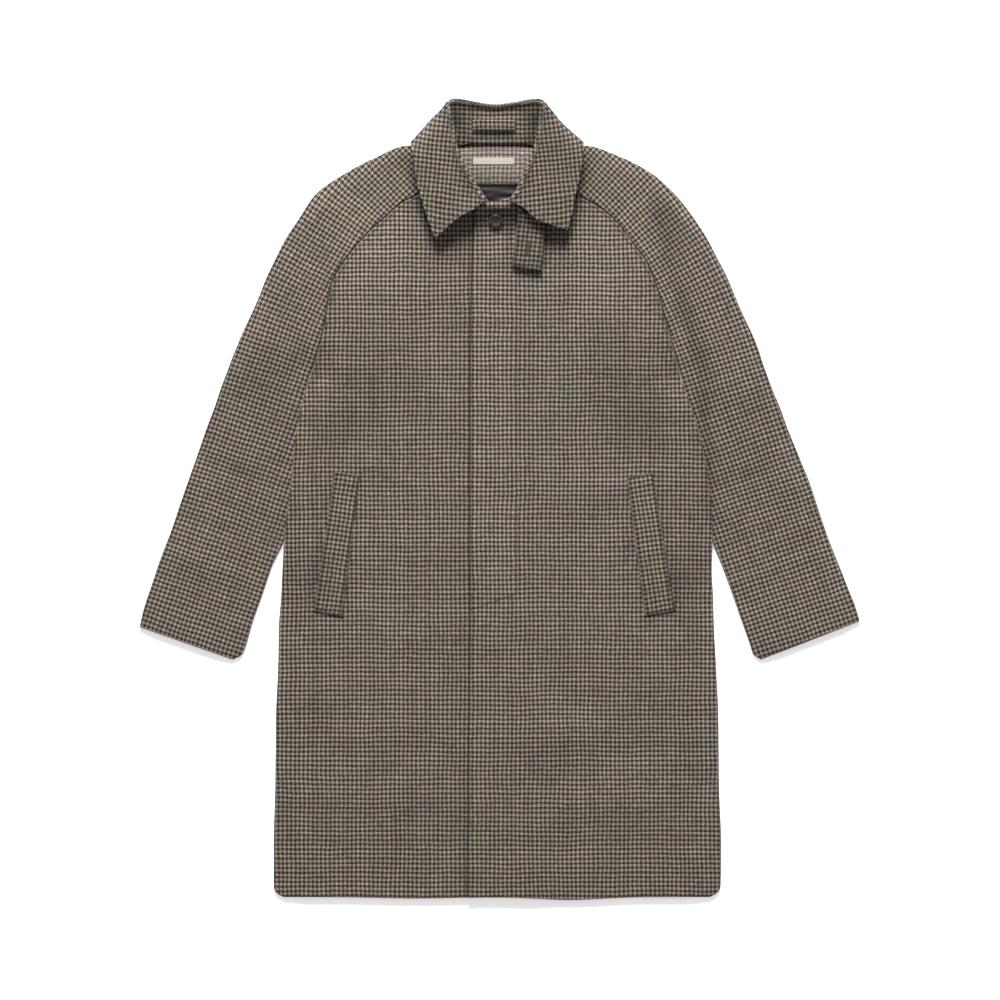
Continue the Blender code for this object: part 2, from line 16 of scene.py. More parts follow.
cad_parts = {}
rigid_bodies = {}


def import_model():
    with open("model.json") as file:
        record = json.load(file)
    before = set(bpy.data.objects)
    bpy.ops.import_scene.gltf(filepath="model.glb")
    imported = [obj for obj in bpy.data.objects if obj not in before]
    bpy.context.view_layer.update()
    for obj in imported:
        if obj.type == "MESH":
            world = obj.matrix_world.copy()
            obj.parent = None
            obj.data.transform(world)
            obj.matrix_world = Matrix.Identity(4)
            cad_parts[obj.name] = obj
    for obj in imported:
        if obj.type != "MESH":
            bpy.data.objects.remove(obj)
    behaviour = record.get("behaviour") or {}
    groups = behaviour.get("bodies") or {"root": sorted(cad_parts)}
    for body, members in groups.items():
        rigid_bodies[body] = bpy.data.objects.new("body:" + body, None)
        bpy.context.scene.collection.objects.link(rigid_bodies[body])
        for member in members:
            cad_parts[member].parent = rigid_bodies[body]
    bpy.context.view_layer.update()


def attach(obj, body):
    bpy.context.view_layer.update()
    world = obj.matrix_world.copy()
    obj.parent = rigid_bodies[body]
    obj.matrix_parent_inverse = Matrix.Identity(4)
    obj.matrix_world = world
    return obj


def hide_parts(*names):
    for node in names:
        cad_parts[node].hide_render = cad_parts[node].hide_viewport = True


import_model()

# %% [markdown]
# ## The coat's own sizes
# A tailor draws a coat as a few seam lines. The tables below are those lines as they lie on the table: the side
# edges, the raglan seam that runs from the underarm to the neck, the sleeves' two edges and the front edge. All of
# them are in millimetres, with x to the right and y towards the collar, and a mesh turns them into metres once.

# %% Seam lines
MM = 0.001
MIDDLE_Y = -1.03      # the middle of the coat's length in these tables; it lies at the frame's origin
LEFT, RIGHT = -1, 1   # the viewer's left and right, as the signs of x

# The side edges of the body below the underarm. Columns: y, left x, right x.
SIDE_COLUMN = {LEFT: 1, RIGHT: 2}
SIDES = (
    (-537, -292, 284), (-532, -301, 293), (-523, -305, 298), (-467, -305, 299), (-386, -303, 296),
    (-292, -302, 295), (-224, -299, 292), (-170, -298, 289), (-130, -295, 288), (-94, -293, 286),
    (-57, -291, 287), (-22, -287, 286.5), (23, -281, 282), (60, -278, 276), (94, -273, 268),
    (132, -265, 256),
)
# The raglan seam, from the underarm to the neck. Columns: front seam x, y; back seam x, y; outer edge of the
# sleeve x, y.
RAGLAN = {LEFT: (
    (-259, 157, -259, 157, -360, 194), (-251, 178, -251, 178, -353, 211), (-244, 204, -244, 204, -345, 230),
    (-239, 223, -239, 223, -338, 244), (-233, 255, -233, 255, -326, 271), (-228, 286, -228, 286, -314, 301),
    (-218, 308, -218, 308, -303, 324), (-202, 331, -202, 331, -290, 350), (-182, 354, -182, 354, -272, 377),
    (-156, 379, -156, 381, -248, 412), (-130, 401, -128, 408, -213, 437), (-112, 410, -107, 427, -172, 459),
    (-87, 424, -84, 452, -125, 477), (-63, 441, -62, 474, -73, 478),
), RIGHT: (
    (246, 157, 246, 157, 355, 185), (239, 184, 239, 184, 349, 204), (233, 206, 233, 206, 341, 223),
    (229, 223, 229, 223, 330, 246), (220, 251, 220, 251, 318, 274), (215, 275, 215, 275, 306, 302),
    (207, 298, 207, 298, 293, 327), (196, 323, 196, 323, 280, 352), (180, 344, 180, 344, 261, 381),
    (164, 366, 164, 368, 238, 410), (143, 387, 142, 396, 206, 439), (116, 404, 112, 421, 163, 462),
    (81, 420, 78, 450, 116, 477), (56, 439, 55, 474, 66, 478),
)}
# The same rows at the middle of the body. Columns: y at the front edge, y at the centre back, bend of the section.
RAGLAN_CENTRE = (
    (157, 157, 1), (178, 178, 1), (202, 202, 1), (218, 220, 1), (244, 250, 1), (269, 280, 1), (288, 305, 1),
    (307, 330, 1), (325, 354, 1), (343, 380, 1.1), (358, 405, 1.3), (370, 430, 1.6), (383, 457, 2.0),
    (398, 486, 2.6),
)
# The sleeves below the underarm. Columns: outer edge x, y; inner edge x, y.
SLEEVE = {LEFT: (
    (-370, 167, -262, 130), (-376, 151, -256, 107), (-384, 127, -255, 80), (-395, 98, -259, 50),
    (-408, 60, -270, 12), (-420, 26, -282, -22), (-432, -8, -291, -57), (-443, -41, -306, -89),
    (-458, -80, -320, -130), (-472, -122, -334, -170), (-480, -146, -341, -195), (-484, -163, -348, -211),
    (-486, -173, -360, -217),
), RIGHT: (
    (364, 160, 253, 130), (370, 144, 248, 107), (378, 125, 248, 80), (390, 92, 253, 50), (405, 56, 265, 12),
    (418, 24, 277, -22), (430, -12, 287, -59), (441, -45, 299, -89), (456, -84, 314, -130),
    (472, -124, 328, -170), (480, -144, 337, -195), (484, -157, 342, -210), (486, -165, 352, -217),
)}
# The front edge of the over front, from the hem to the neck. Columns: y, x.
FRONT_EDGE = ((-537, -43), (-271, -40), (-136, -39), (134, -39), (282, -37), (397, -33))
HEM_WAVES = ((-113, 70, 2), (95, 60, 4))  # x, half width and depth of each slight wave in the hem
HEM_ROWS = 4          # the waves fade over this many rows of SIDES
print("raglan rows:", len(RAGLAN[LEFT]), "sleeve rows:", len(SLEEVE[LEFT]))

# %% [markdown]
# ## Reading a seam line smoothly
# A seam is a curve, but a table has corners. A cubic through the rows takes the corners away. This one never
# swings past its rows, which a plain spline does where short and long steps meet, as at the rounded hem corners.


# %% Smooth curves through rows
def smooth(t):
    """0 below 0, 1 above 1, and an even rise between."""
    t = min(1.0, max(0.0, t))
    return t * t * (3 - 2 * t)


def between(a, b, t):
    return tuple(p + (q - p) * t for p, q in zip(a, b))


def in_frame(x, y, z):
    """A place of the tables, in millimetres, as a place of the frame, in metres."""
    return x * MM, (y - MIDDLE_Y) * MM, z * MM


def on_table(point):
    """The x and y that the tables give a place of the frame."""
    return point[0] / MM, point[1] / MM + MIDDLE_Y


def distances(rows):
    """How far along their first two columns the rows lie."""
    out = [0.0]
    for a, b in zip(rows, rows[1:]):
        out.append(out[-1] + math.dist(a[:2], b[:2]))
    return out


def row_slope(before, after, step_before, step_after):
    """A slope at a row that keeps the curve between its rows: none at a turning point."""
    if before * after <= 0:
        return 0.0
    whole = 3 * (step_before + step_after)
    return whole / ((2 * step_after + step_before) / before + (step_after + 2 * step_before) / after)


def read_rows(rows, at, place):
    """Every column of the rows at a place along them; at holds the rows' own places."""
    k = 0
    while k < len(rows) - 2 and place > at[k + 1]:
        k += 1
    step = at[k + 1] - at[k]
    t = min(1.0, max(0.0, (place - at[k]) / step))
    out = []
    for column in range(len(rows[0])):
        rise = [
            (rows[j + 1][column] - rows[j][column]) / (at[j + 1] - at[j])
            for j in range(max(0, k - 1), min(len(rows) - 1, k + 2))
        ]
        here = rise[k - max(0, k - 1)]
        start = row_slope(rise[0], here, at[k] - at[k - 1], step) if k > 0 else here
        end = row_slope(here, rise[-1], step, at[k + 2] - at[k + 1]) if k < len(rows) - 2 else here
        a, b = rows[k][column], rows[k + 1][column]
        out.append(
            a * (2 * t - 3) * t * t + a
            + b * (3 - 2 * t) * t * t
            + start * step * t * (1 - t) ** 2
            - end * step * t * t * (1 - t)
        )
    return out


def read_column(table, key):
    """The value at key in a table of (key, value) rows."""
    return read_rows(table, [row[0] for row in table], key)[1]


print("front edge at the waist:", round(read_column(FRONT_EDGE, 0), 1), "mm")

# %% [markdown]
# ## How the layers lie
# A coat on a table is a stack: the back, a little air, the front, and near the middle a second front on top. Each
# height below says how high one layer's underside is at a place, so that every panel rests on what is under it.
# The sleeves tuck under the sides of the body, and the turned fall of the collar lies under the back of the neck,
# so the body is raised there.

# %% Heights of the layers
WALL = 2.5            # coating and lining together
SEAM_ALONG_ROW = 0.45  # room between a sleeve and the body, measured along a sleeve section
EDGE_GAP = 0.4        # between front and back at a closed edge
LOFT = 2.5            # between front and back inside a panel
LOFT_RUN = 30.0       # the width over which the gap opens from a closed edge
FRONT_GAP = 0.5       # between the two fronts where they lap
COLLAR_WALL = 2.5
UNDERARM_Y = 157.0
APEX_Y = -57.0        # where the sleeve and the side of the body part
SEAM_RUN = 60.0       # the height over which front and back part above the underarm
SEAM_ROW = 2          # the raglan row whose x stands for the seam there
UNDER_EDGE_X = 38.0   # the hidden edge of the under front
LAP_RUN = 40.0        # the width over which the over front rises onto the under front
NECK_Y = 320.0        # where the hidden edge starts to draw in towards the neck
NECK_RUN = 75.0       # the height over which it does
EDGE_DRAW = 20.0      # how far the hidden edge draws in
LAP_DRAW = 18.0       # how much narrower the rise gets
SLEEVE_OPEN_Y = 230.0
SLEEVE_OPEN_RUN = 70.0
TUCK_LIFT = 2 * WALL + EDGE_GAP + 0.5
TUCK_FLAT = 32.0      # the width that stays fully raised
TUCK_RUN = 62.0       # the width over which the body comes down again
TUCK_TOP_Y = 116.0    # fully raised from here down to the apex
TUCK_END_Y = -145.0   # down on the floor again
FALL_CENTRE = (-6.0, 512.0)
FALL_HALF = (125.0, 70.0)
FALL_LIFT = COLLAR_WALL + 0.9
FALL_FLAT = 1.05      # fully raised out to here, and down again over the next, both as shares of its half size
FALL_RUN = 0.45
LIP_RISE = 1.6        # the over front's edge stands off the under front a little
LIP_RUN = 9.0
NECK_SLOPE = (5.5, 361.0, 26.0)  # the stand holds the fronts up at the neck: height, from y, over this much y
NECK_BROW = (9.5, 384.0, 9.0)    # and they roll over sharply just below its edge
NECK_LIFT_HALF = (20.0, 52.0)
UNDERARM_LIFT = 2.6   # the join at the underarm doesn't lie quite down
UNDERARM_CENTRE = (252.0, 162.0)
UNDERARM_HALF = (60.0, 44.0)
print("each panel is", WALL, "mm thick")

# %% [markdown]
# Four things hold the cloth up: the stand of the collar at the neck, the join at each underarm, the fall of the
# collar and a tucked sleeve. Each has a function of its own, and a panel adds up those that lie below it.

# %% What raises the cloth
def neck_lift(x, y):
    """How far the fronts are raised below the closed neck."""
    along = sum(height * smooth((y - start) / run) for height, start, run in (NECK_SLOPE, NECK_BROW))
    return along * smooth((NECK_LIFT_HALF[1] - abs(x)) / (NECK_LIFT_HALF[1] - NECK_LIFT_HALF[0]))


def underarm_lift(x, y):
    """How far all the layers are raised round the underarm."""
    far = ((abs(x) - UNDERARM_CENTRE[0]) / UNDERARM_HALF[0]) ** 2 + ((y - UNDERARM_CENTRE[1]) / UNDERARM_HALF[1]) ** 2
    return UNDERARM_LIFT * math.exp(-far)


def fall_lift(x, y):
    """How far the cloth is raised where the fall of the collar lies beneath it."""
    r = math.hypot((x - FALL_CENTRE[0]) / FALL_HALF[0], (y - FALL_CENTRE[1]) / FALL_HALF[1])
    return FALL_LIFT * (1 - smooth((r - FALL_FLAT) / FALL_RUN))


# Each side edge up to the underarm. Columns: y, x.
SIDE_LINE = {
    side: [(row[0], row[column]) for row in SIDES] + [(UNDERARM_Y, RAGLAN[side][0][0])]
    for side, column in SIDE_COLUMN.items()
}


def side_of(x):
    return LEFT if x < 0 else RIGHT


def inward_of_side(x, y):
    """How far a place lies inside the nearer side edge of the body."""
    side = side_of(x)
    return side * (read_column(SIDE_LINE[side], y) - x)


def tuck_lift(x, y):
    """How far the side of the body is raised over the tucked part of the sleeve."""
    along = smooth((UNDERARM_Y - y) / (UNDERARM_Y - TUCK_TOP_Y))
    along *= smooth((y - TUCK_END_Y) / (APEX_Y - TUCK_END_Y))
    if along <= 0:
        return 0.0
    return TUCK_LIFT * along * (1 - smooth((inward_of_side(x, y) - TUCK_FLAT) / TUCK_RUN))


def seam_opening(y):
    """0 at the underarm, where front and back meet, and 1 up the raglan seam."""
    return smooth((y - UNDERARM_Y) / SEAM_RUN)


def under_edge_x(y):
    return UNDER_EDGE_X - EDGE_DRAW * smooth((y - NECK_Y) / NECK_RUN)


def lap_end_x(y):
    return under_edge_x(y) + LAP_RUN - LAP_DRAW * smooth((y - NECK_Y) / NECK_RUN)


print("the body is raised", TUCK_LIFT, "mm over a tucked sleeve")

# %% [markdown]
# ## Soft creases
# Thick wool doesn't crease sharply; it swells and sinks in low, long waves, and only at the pull points, such as
# the underarm and the pocket, do they get narrower. Cloth simulation gives such waves by chance. Here they are
# given one by one, each as a soft ridge or trough along a line, so that they lie where this coat has them.

# %% Creases
# Broad swells. Columns: centre x, y; half sizes x, y; height, below 0 for a hollow.
SWELLS = (
    (-178, 232, 95, 120, 10.5),
    (160, 236, 90, 120, 10.5),
    (182, 76, 56, 60, -2.2),
    (120, 20, 60, 34, 3.2),
    (-322, 205, 40, 46, 4.0),
    (-330, 60, 40, 40, 3.0),
    (335, 150, 36, 60, 3.5),
    (392, 40, 34, 50, 3.5),
    (-420, -70, 36, 40, 2.5),
    (245, 392, 34, 26, 3.5),
    (-240, 386, 36, 26, 3.0),
    (-90, -60, 60, 40, 2.2),
    (-236, -50, 50, 60, 1.2),
    (236, -60, 46, 60, 1.2),
    (70, -318, 60, 26, 2.4),
    (-160, -395, 70, 26, 2.0),
    (140, -415, 60, 28, 2.2),
    (50, -500, 70, 26, 2.6),
    (-225, -250, 60, 34, 2.0),
    (215, -255, 50, 30, 1.8),
)
# Creases. Columns: from x, y; to x, y; half width; height.
CREASES = (
    (-300, 236, -238, 150, 13, -2.2),
    (-330, 110, -300, -20, 20, -2.0),
    (-395, 30, -335, -10, 15, 1.6),
    (-440, -80, -365, -110, 14, 1.4),
    (-200, 330, -90, 250, 24, 1.6),
    (-110, 190, -60, 120, 26, 1.4),
    (228, 383, 262, 250, 16, -2.6),
    (262, 250, 300, 60, 13, -2.4),
    (318, 90, 395, 60, 15, 1.5),
    (345, -60, 430, -30, 14, 1.4),
    (210, 310, 100, 220, 24, 1.6),
    (215, 55, 120, 35, 13, -1.6),
    (-215, 60, -110, 20, 16, 1.2),
    (-160, -190, 40, -160, 24, 1.2),
    (170, -190, 60, -215, 22, 1.2),
    (-240, -330, -110, -300, 20, 1.2),
    (120, -355, 245, -330, 18, -1.4),
    (-60, -430, 60, -455, 20, 1.4),
)


BUMP_REACH = 3        # half sizes from its middle where a bump ends
RIDGE_FADE = 0.2      # how far a ridge runs on past its ends, as a share of its length
RIDGE_RISE = 0.5      # and the share of its length over which it rises


def bumps(x, y, table):
    """The sum of a table's soft bumps at a place."""
    height = 0.0
    for cx, cy, half_x, half_y, top in table:
        far = ((x - cx) / half_x) ** 2 + ((y - cy) / half_y) ** 2
        if far < BUMP_REACH ** 2:
            height += top * math.exp(-far)
    return height


def ridges(x, y, table):
    """The sum of a table's soft ridges along lines at a place."""
    height = 0.0
    for x0, y0, x1, y1, half, top in table:
        dx, dy = x1 - x0, y1 - y0
        length = math.hypot(dx, dy)
        along = ((x - x0) * dx + (y - y0) * dy) / length ** 2
        if not -RIDGE_FADE < along < 1 + RIDGE_FADE:
            continue
        off = ((x - x0) * dy - (y - y0) * dx) / length
        ends = smooth((along + RIDGE_FADE) / RIDGE_RISE), smooth((1 + RIDGE_FADE - along) / RIDGE_RISE)
        height += top * ends[0] * ends[1] * math.exp(-(off / half) ** 2)
    return height


def creases(x, y):
    """How far the swells and creases raise or lower the top layer at a place."""
    return bumps(x, y, SWELLS) + ridges(x, y, CREASES)


print("swells:", len(SWELLS), "creases:", len(CREASES))

# %% [markdown]
# The cloth's colour is also painted lighter or darker in places, as painted light and painted shade: shade beside a
# seam, by the sides of the body or below the turned collar. The two tables below say where, in shares of its
# brightness.

# %% Painted light and shade
# Patches of painted light, above 0, and painted shade, below 0. Columns as for the swells.
PAINTED_LIGHT_PATCHES = (
    (-195, 350, 60, 60, 0.15),
    (150, 300, 60, 50, 0.03),
    (-205, 140, 62, 70, -0.10),
    (190, 118, 50, 70, -0.11),
    (-236, 137, 24, 24, -0.09),
    (230, 152, 24, 24, -0.09),
    (112, 18, 60, 26, 0.07),
    (-287, -28, 16, 44, -0.14),
    (-340, 130, 60, 110, -0.09),
    (345, 110, 60, 130, -0.09),
    (-246, 200, 14, 24, 0.12),
    (237, 200, 14, 24, 0.12),
    (-245, -95, 30, 60, -0.03),
    (242, -110, 30, 60, -0.04),
    (120, 415, 26, 30, -0.10),
    (-4, 377, 30, 15, -0.34),
    (40, -525, 70, 26, 0.06),
)
# Lines of painted shade. Columns as for the creases.
PAINTED_SHADE_LINES = (
    (208, 418, 238, 288, 15, -0.27),
    (240, 292, 275, 173, 11, -0.30),
    (274, 176, 285, -43, 9, -0.34),
    (-238, 366, -222, 252, 15, -0.11),
    (-123, 462, -93, 352, 9, -0.34),
    (119, 462, 98, 362, 9, -0.30),
    (-226, 38, -256, -151, 6, -0.17),
    (211, 35, 242, -151, 6, -0.19),
    (-187, 31, -208, -160, 4, -0.10),
    (170, 28, 193, -158, 4, -0.10),
    (13, 380, 7, 306, 4.5, -0.22),
    (66, 374, 61, 308, 4.5, -0.18),
)


# The painted light and shade at a place, as a share of the cloth's brightness.
def lie_of_nap(x, y):
    return 1 + bumps(x, y, PAINTED_LIGHT_PATCHES) + ridges(x, y, PAINTED_SHADE_LINES)


print("nap below the collar:", round(lie_of_nap(-108, 407), 2))

# %% [markdown]
# With the creases placed, each layer has its height: the back on the table, the fronts on the back, and the over
# front one wall higher where it laps the under front.

# %% Undersides of the panels
def back_low(x, y):
    return fall_lift(x, y) + underarm_lift(x, y) + tuck_lift(x, y)


def front_low(x, y):
    """The underside of either front: on the back, with air between them inside the panel."""
    open_ = seam_opening(y)
    if y < UNDERARM_Y:
        open_ = smooth(inward_of_side(x, y) / LOFT_RUN)
    elif y < UNDERARM_Y + SEAM_RUN:
        seam_x = RAGLAN[side_of(x)][SEAM_ROW][0]
        open_ = max(open_, smooth((abs(seam_x) - abs(x)) / LOFT_RUN))
    air = (LOFT - EDGE_GAP + creases(x, y)) * open_ + neck_lift(x, y)
    return back_low(x, y) + WALL + EDGE_GAP + air


def over_low(x, y):
    """The over front rises by one wall where it laps the under front."""
    lap = 1 - smooth((x - under_edge_x(y)) / (lap_end_x(y) - under_edge_x(y)))
    lip = LIP_RISE * math.exp(-(((x - read_column(FRONT_EDGE, y)) / LIP_RUN) ** 2))
    return front_low(x, y) + (WALL + FRONT_GAP) * lap + lip


print("over front at the middle:", round(over_low(0, 0), 1), "mm above the table")

# %% [markdown]
# ## A sheet of cloth as a closed shell
# A panel of coating is two faces a few millimetres apart that run together at its edges. How they do so is what
# makes cloth look like cloth: a hem or cuff is turned, so it is round on both sides; a side seam is round only
# outside; a seam in the middle of the coat is a shallow groove. The helper takes a grid of places with their
# distances to the four borders, and draws the two faces together near each border by that border's own amounts.

# %% The shell maker
TURNED, ROLLED, CLOSED_TOP, CLOSED_UNDER, SEWN, SEWN_UNDER, PLAIN = range(7)
SEAM_SINK = 2.1       # how deep a sewn seam sinks
SEAM_ROUND = 3.4      # the width over which it does
EDGE_FLAT = 0.12      # what is left of an edge's thickness at its very end
STITCH_FIELDS = ("beside_seam", "beside_edge")  # signed distances in millimetres, for stitch dents and a line of painted shade
PAINTED_LIGHT_FIELD = "nap"
FAR_FROM_STITCHES = 100.0
NO_STITCHES = (FAR_FROM_STITCHES, FAR_FROM_STITCHES)


def edge_draw(kind, wall):
    """How far the top comes down and the underside comes up at a border, and over what width."""
    half = (wall - EDGE_FLAT) / 2
    return {
        TURNED: (half, half, wall / 2),
        ROLLED: (wall - half / 2 - EDGE_FLAT, half / 2, wall),
        CLOSED_TOP: (wall - EDGE_FLAT, 0.0, wall),
        CLOSED_UNDER: (0.0, wall - EDGE_FLAT, wall),
        SEWN: (SEAM_SINK, 0.0, SEAM_ROUND),
        SEWN_UNDER: (0.0, SEAM_SINK, SEAM_ROUND),
        PLAIN: (0.0, 0.0, 1.0),
    }[kind]


def quarter_round(distance, radius):
    """1 at an edge and 0 from one radius inwards, as a quarter of a circle."""
    t = min(1.0, max(0.0, distance / radius))
    return 1 - math.sqrt(1 - (1 - t) ** 2)


print("a turned edge comes down", round(edge_draw(TURNED, WALL)[0], 2), "mm")

# %% [markdown]
# The shell itself is two such faces and a rim. Every point also carries what the material asks for later: where the
# place lies in the cloth's own grain, its painted light and shade, and how far it is from the nearest rows of
# stitches.

# %% A mesh from a grid of places
NEAR_BORDER = (0.0, 0.12, 0.4, 0.75, 1.25)  # the places beside a border, in walls


def new_object(name, points, edges=(), faces=()):
    """A mesh object of points in metres."""
    mesh = bpy.data.meshes.new(name)
    mesh.from_pydata(points, edges, faces)
    obj = bpy.data.objects.new(name, mesh)
    bpy.context.scene.collection.objects.link(obj)
    return obj


def point_field(mesh, name, values):
    """Gives every point of a mesh a number, which a material can read."""
    mesh.attributes.new(name, "FLOAT", "POINT").data.foreach_set("value", values)


def grain_layer(mesh, places):
    """Texture coordinates that follow the cloth, from one place for each point of a wall's face."""
    layer = mesh.uv_layers.new(name="grain")
    for loop in mesh.loops:
        layer.data[loop.index].uv = places[loop.vertex_index % len(places)]


def shell(name, rows, wall, uv_of):
    """A closed mesh over rows of (x, y, low, borders, sewn): borders lists (distance, kind) for the near borders,
    and sewn how far the place lies to one side of each of two lines of stitches."""
    tops, unders, beside = [], [], []
    for row in rows:
        for x, y, low, borders, sewn in row:
            beside.append(sewn)
            down = up = 0.0
            for distance, kind in borders:
                drop, rise, radius = edge_draw(kind, wall)
                share = quarter_round(distance, radius)
                down = max(down, drop * share)
                up = max(up, rise * share)
            tops.append(in_frame(x, y, low + wall - down))
            unders.append(in_frame(x, y, low + up))
    across, along = len(rows[0]), len(rows)
    count = across * along
    faces = []
    for j in range(along - 1):
        for i in range(across - 1):
            a = j * across + i
            b = a + across
            faces.append((a, a + 1, b + 1, b))
            faces.append((a + count, b + count, b + 1 + count, a + 1 + count))
    ring = list(range(across))
    ring += [j * across + across - 1 for j in range(1, along)]
    ring += [(along - 1) * across + i for i in range(across - 2, -1, -1)]
    ring += [j * across for j in range(along - 2, 0, -1)]
    for a, b in zip(ring, ring[1:] + ring[:1]):
        faces.append((b, a, a + count, b + count))
    obj = new_object(name, tops + unders, faces=faces)
    mesh = obj.data
    if mesh.polygons[0].normal.z < 0:
        mesh.flip_normals()
    mesh.shade_smooth()
    grain_layer(mesh, [uv_of(*on_table(v)) for v in tops])
    point_field(mesh, PAINTED_LIGHT_FIELD, [lie_of_nap(*on_table(v)) for v in tops] * 2)
    for title, values in zip(STITCH_FIELDS, zip(*beside)):
        point_field(mesh, title, [*values, *[FAR_FROM_STITCHES] * count])
    return obj


def steps_between_borders(length, count, wall):
    """Places from 0 to length: close together where an edge is round, and in a count of even steps between."""
    near = [share * wall for share in NEAR_BORDER]
    inner = length - 2 * near[-1]
    middle = [near[-1] + inner * k / count for k in range(1, count)]
    return near + middle + [length - d for d in reversed(near)]


print("places over 100 mm:", len(steps_between_borders(100, 20, WALL)))

# %% [markdown]
# ## The body
# The two fronts and the back share their side seams and raglan seams, so all three are laid through the same rows.
# A row runs from the seam to the middle; the upper rows bend, because the neckline is flat at the front edge and
# climbs to the shoulder. The over front is the one that a wearer buttons last, and its edge is the long line down
# the middle of the coat.

# %% Rows up the body
PITCH = 5.0           # the grid's spacing
BACK_COLUMNS = 120


def straight_grain(x, y):
    """Texture coordinates of cloth that lies straight: metres across and along the coat."""
    return (x * MM, y * MM)


def grain_beside(px, py, dx, dy, run=0.0):
    """The same beside a line. px and py lead there from a place on it, dx and dy lead along it, and run is how far
    along it that place is."""
    return ((px * dy - py * dx) * MM, (run + px * dx + py * dy) * MM)


def hem_drop(x, row):
    drop = sum(depth * math.exp(-(((x - at) / half) ** 2)) for at, half, depth in HEM_WAVES)
    return drop * max(0.0, 1 - row / HEM_ROWS)


def body_rows(side):
    """Rows up one side of the body. Columns: seam x, y; y at the front edge; bend; y at the centre back; back
    seam x, y; row number."""
    rows = []
    for k, row in enumerate(SIDES):
        x, y = row[SIDE_COLUMN[side]], row[0]
        rows.append((x, y, y, 1, y, x, y, k))
    for k, (seam, (front_y, back_y, bend)) in enumerate(zip(RAGLAN[side], RAGLAN_CENTRE)):
        rows.append((*seam[:2], front_y, bend, back_y, *seam[2:4], k + len(SIDES)))
    return rows


def body_edge_kind(y, below, above):
    return above if y > UNDERARM_Y else below


print("rows up one side of the body:", len(body_rows(LEFT)))

# %% [markdown]
# A row of stitches runs beside each raglan seam, and another on the over front holds the strip of the hidden
# buttonholes. The cloth is dented along them, so each place of a front is told how far it lies from both. On the under
# front the second distance counts from the over front's edge, for the line of painted shade beside it.

# %% Lines along the fronts
SHADE_LINE_MARK = 90.0       # on the under front, what the distance reads at the painted shade line by the over front's edge
SEAM_STITCH = 5.0     # from the raglan seam to its row of stitches
EDGE_SHADE = 1.1      # from the over front's edge to the middle of the line of painted shade beside it
FLY_X = 23.0          # the row that holds the hidden buttonholes' strip
FLY_BOTTOM_Y = -128.0
FLY_SLANT = (-40.0, -150.0)  # where the slanted end of that row meets the front edge
FLY_PAINTED_LIGHT = 0.07        # painted light on the strip over the hidden buttons, as a share of its brightness
FLY_FADE = 10.0       # the width over which that fades beyond the row
FLY_RISE = 60.0       # and the height over which it does at the foot
BESIDE_EDGE_PAINTED_SHADE = -0.09  # painted shade on the under front beside the over front's edge
BESIDE_EDGE_SHADE_HALF = 13.0
STITCH_FADE = 12.0    # above the underarm, the height over which the row beside the raglan seam begins


def raglan_stitch(d, seam_y):
    """How far a place lies beyond the row beside the raglan seam; below the underarm there is none."""
    return d - SEAM_STITCH + FAR_FROM_STITCHES * (1 - smooth((seam_y - UNDERARM_Y) / STITCH_FADE))


def front_stitch(x, y, side):
    """How far a place lies beyond the fly's row, or on the under front from the other front's edge."""
    if side == LEFT:
        return SHADE_LINE_MARK + read_column(FRONT_EDGE, y) - EDGE_SHADE - x
    slope = (FLY_BOTTOM_Y - FLY_SLANT[1]) / (FLY_X - FLY_SLANT[0])
    above = (y - FLY_SLANT[1] - slope * (x - FLY_SLANT[0])) / math.hypot(1, slope)
    return min(above, FLY_X - x)


print("the fly's row is at x =", FLY_X, "mm, down to y =", FLY_BOTTOM_Y, "mm")

# %% [markdown]
# Now the three panels can be laid. A front ends at its own edge, and the back runs from side to side.

# %% The three panels
def across_front(row, inner, d):
    """The place on one row of a front that lies d millimetres inwards of its seam."""
    seam_x, seam_y, y, bend, _, _, _, number = row
    share = d / abs(inner - seam_x)
    x = seam_x + (inner - seam_x) * share
    return x, y + (seam_y - y) * (1 - share) ** bend - hem_drop(x, number)


def front(name, side, inner_x, low):
    """One front, from its side and raglan seams to its front edge."""
    table = body_rows(side)
    at = distances(table)
    grid = []
    columns = round(abs(inner_x(0) - table[0][0]) / PITCH)
    for place in steps_between_borders(at[-1], round(at[-1] / PITCH), WALL):
        table_row = read_rows(table, at, place)
        seam_x, seam_y, y = table_row[:3]
        inner = inner_x(y)
        width = abs(inner - seam_x)
        row = []
        for d in steps_between_borders(width, columns, WALL):
            x, py = across_front(table_row, inner, d)
            borders = [(d, body_edge_kind(seam_y, CLOSED_TOP, SEWN)), (width - d, ROLLED)]
            borders += [(place, TURNED), (at[-1] - place, TURNED)]
            sewn = (raglan_stitch(d, seam_y), front_stitch(x, py, side))
            row.append((x, py, low(x, py), borders, sewn))
        grid.append(row)
    return shell(name, grid, WALL, straight_grain)


def back():
    """The back, from side to side."""
    left, right = body_rows(LEFT), body_rows(RIGHT)
    at = distances(left)
    at_right = distances(right)
    grid = []
    for place in steps_between_borders(at[-1], round(at[-1] / PITCH), WALL):
        # a and b are the row's left and right halves, with the columns of body_rows.
        a = read_rows(left, at, place)
        b = read_rows(right, at_right, place * at_right[-1] / at[-1])
        middle_y = (a[4] + b[4]) / 2
        width = b[5] - a[5]
        row = []
        for d in steps_between_borders(width, BACK_COLUMNS, WALL):
            end = (a[5], a[6]) if d < -a[5] else (b[5], b[6])
            x = a[5] + d
            y = middle_y + (end[1] - middle_y) * x / end[0] - hem_drop(x, a[7])
            kind = body_edge_kind(a[6], CLOSED_UNDER, SEWN_UNDER)
            borders = [(d, kind), (width - d, kind), (place, TURNED), (at[-1] - place, PLAIN)]
            row.append((x, y, back_low(x, y), borders, NO_STITCHES))
        grid.append(row)
    return shell("back", grid, WALL, straight_grain)


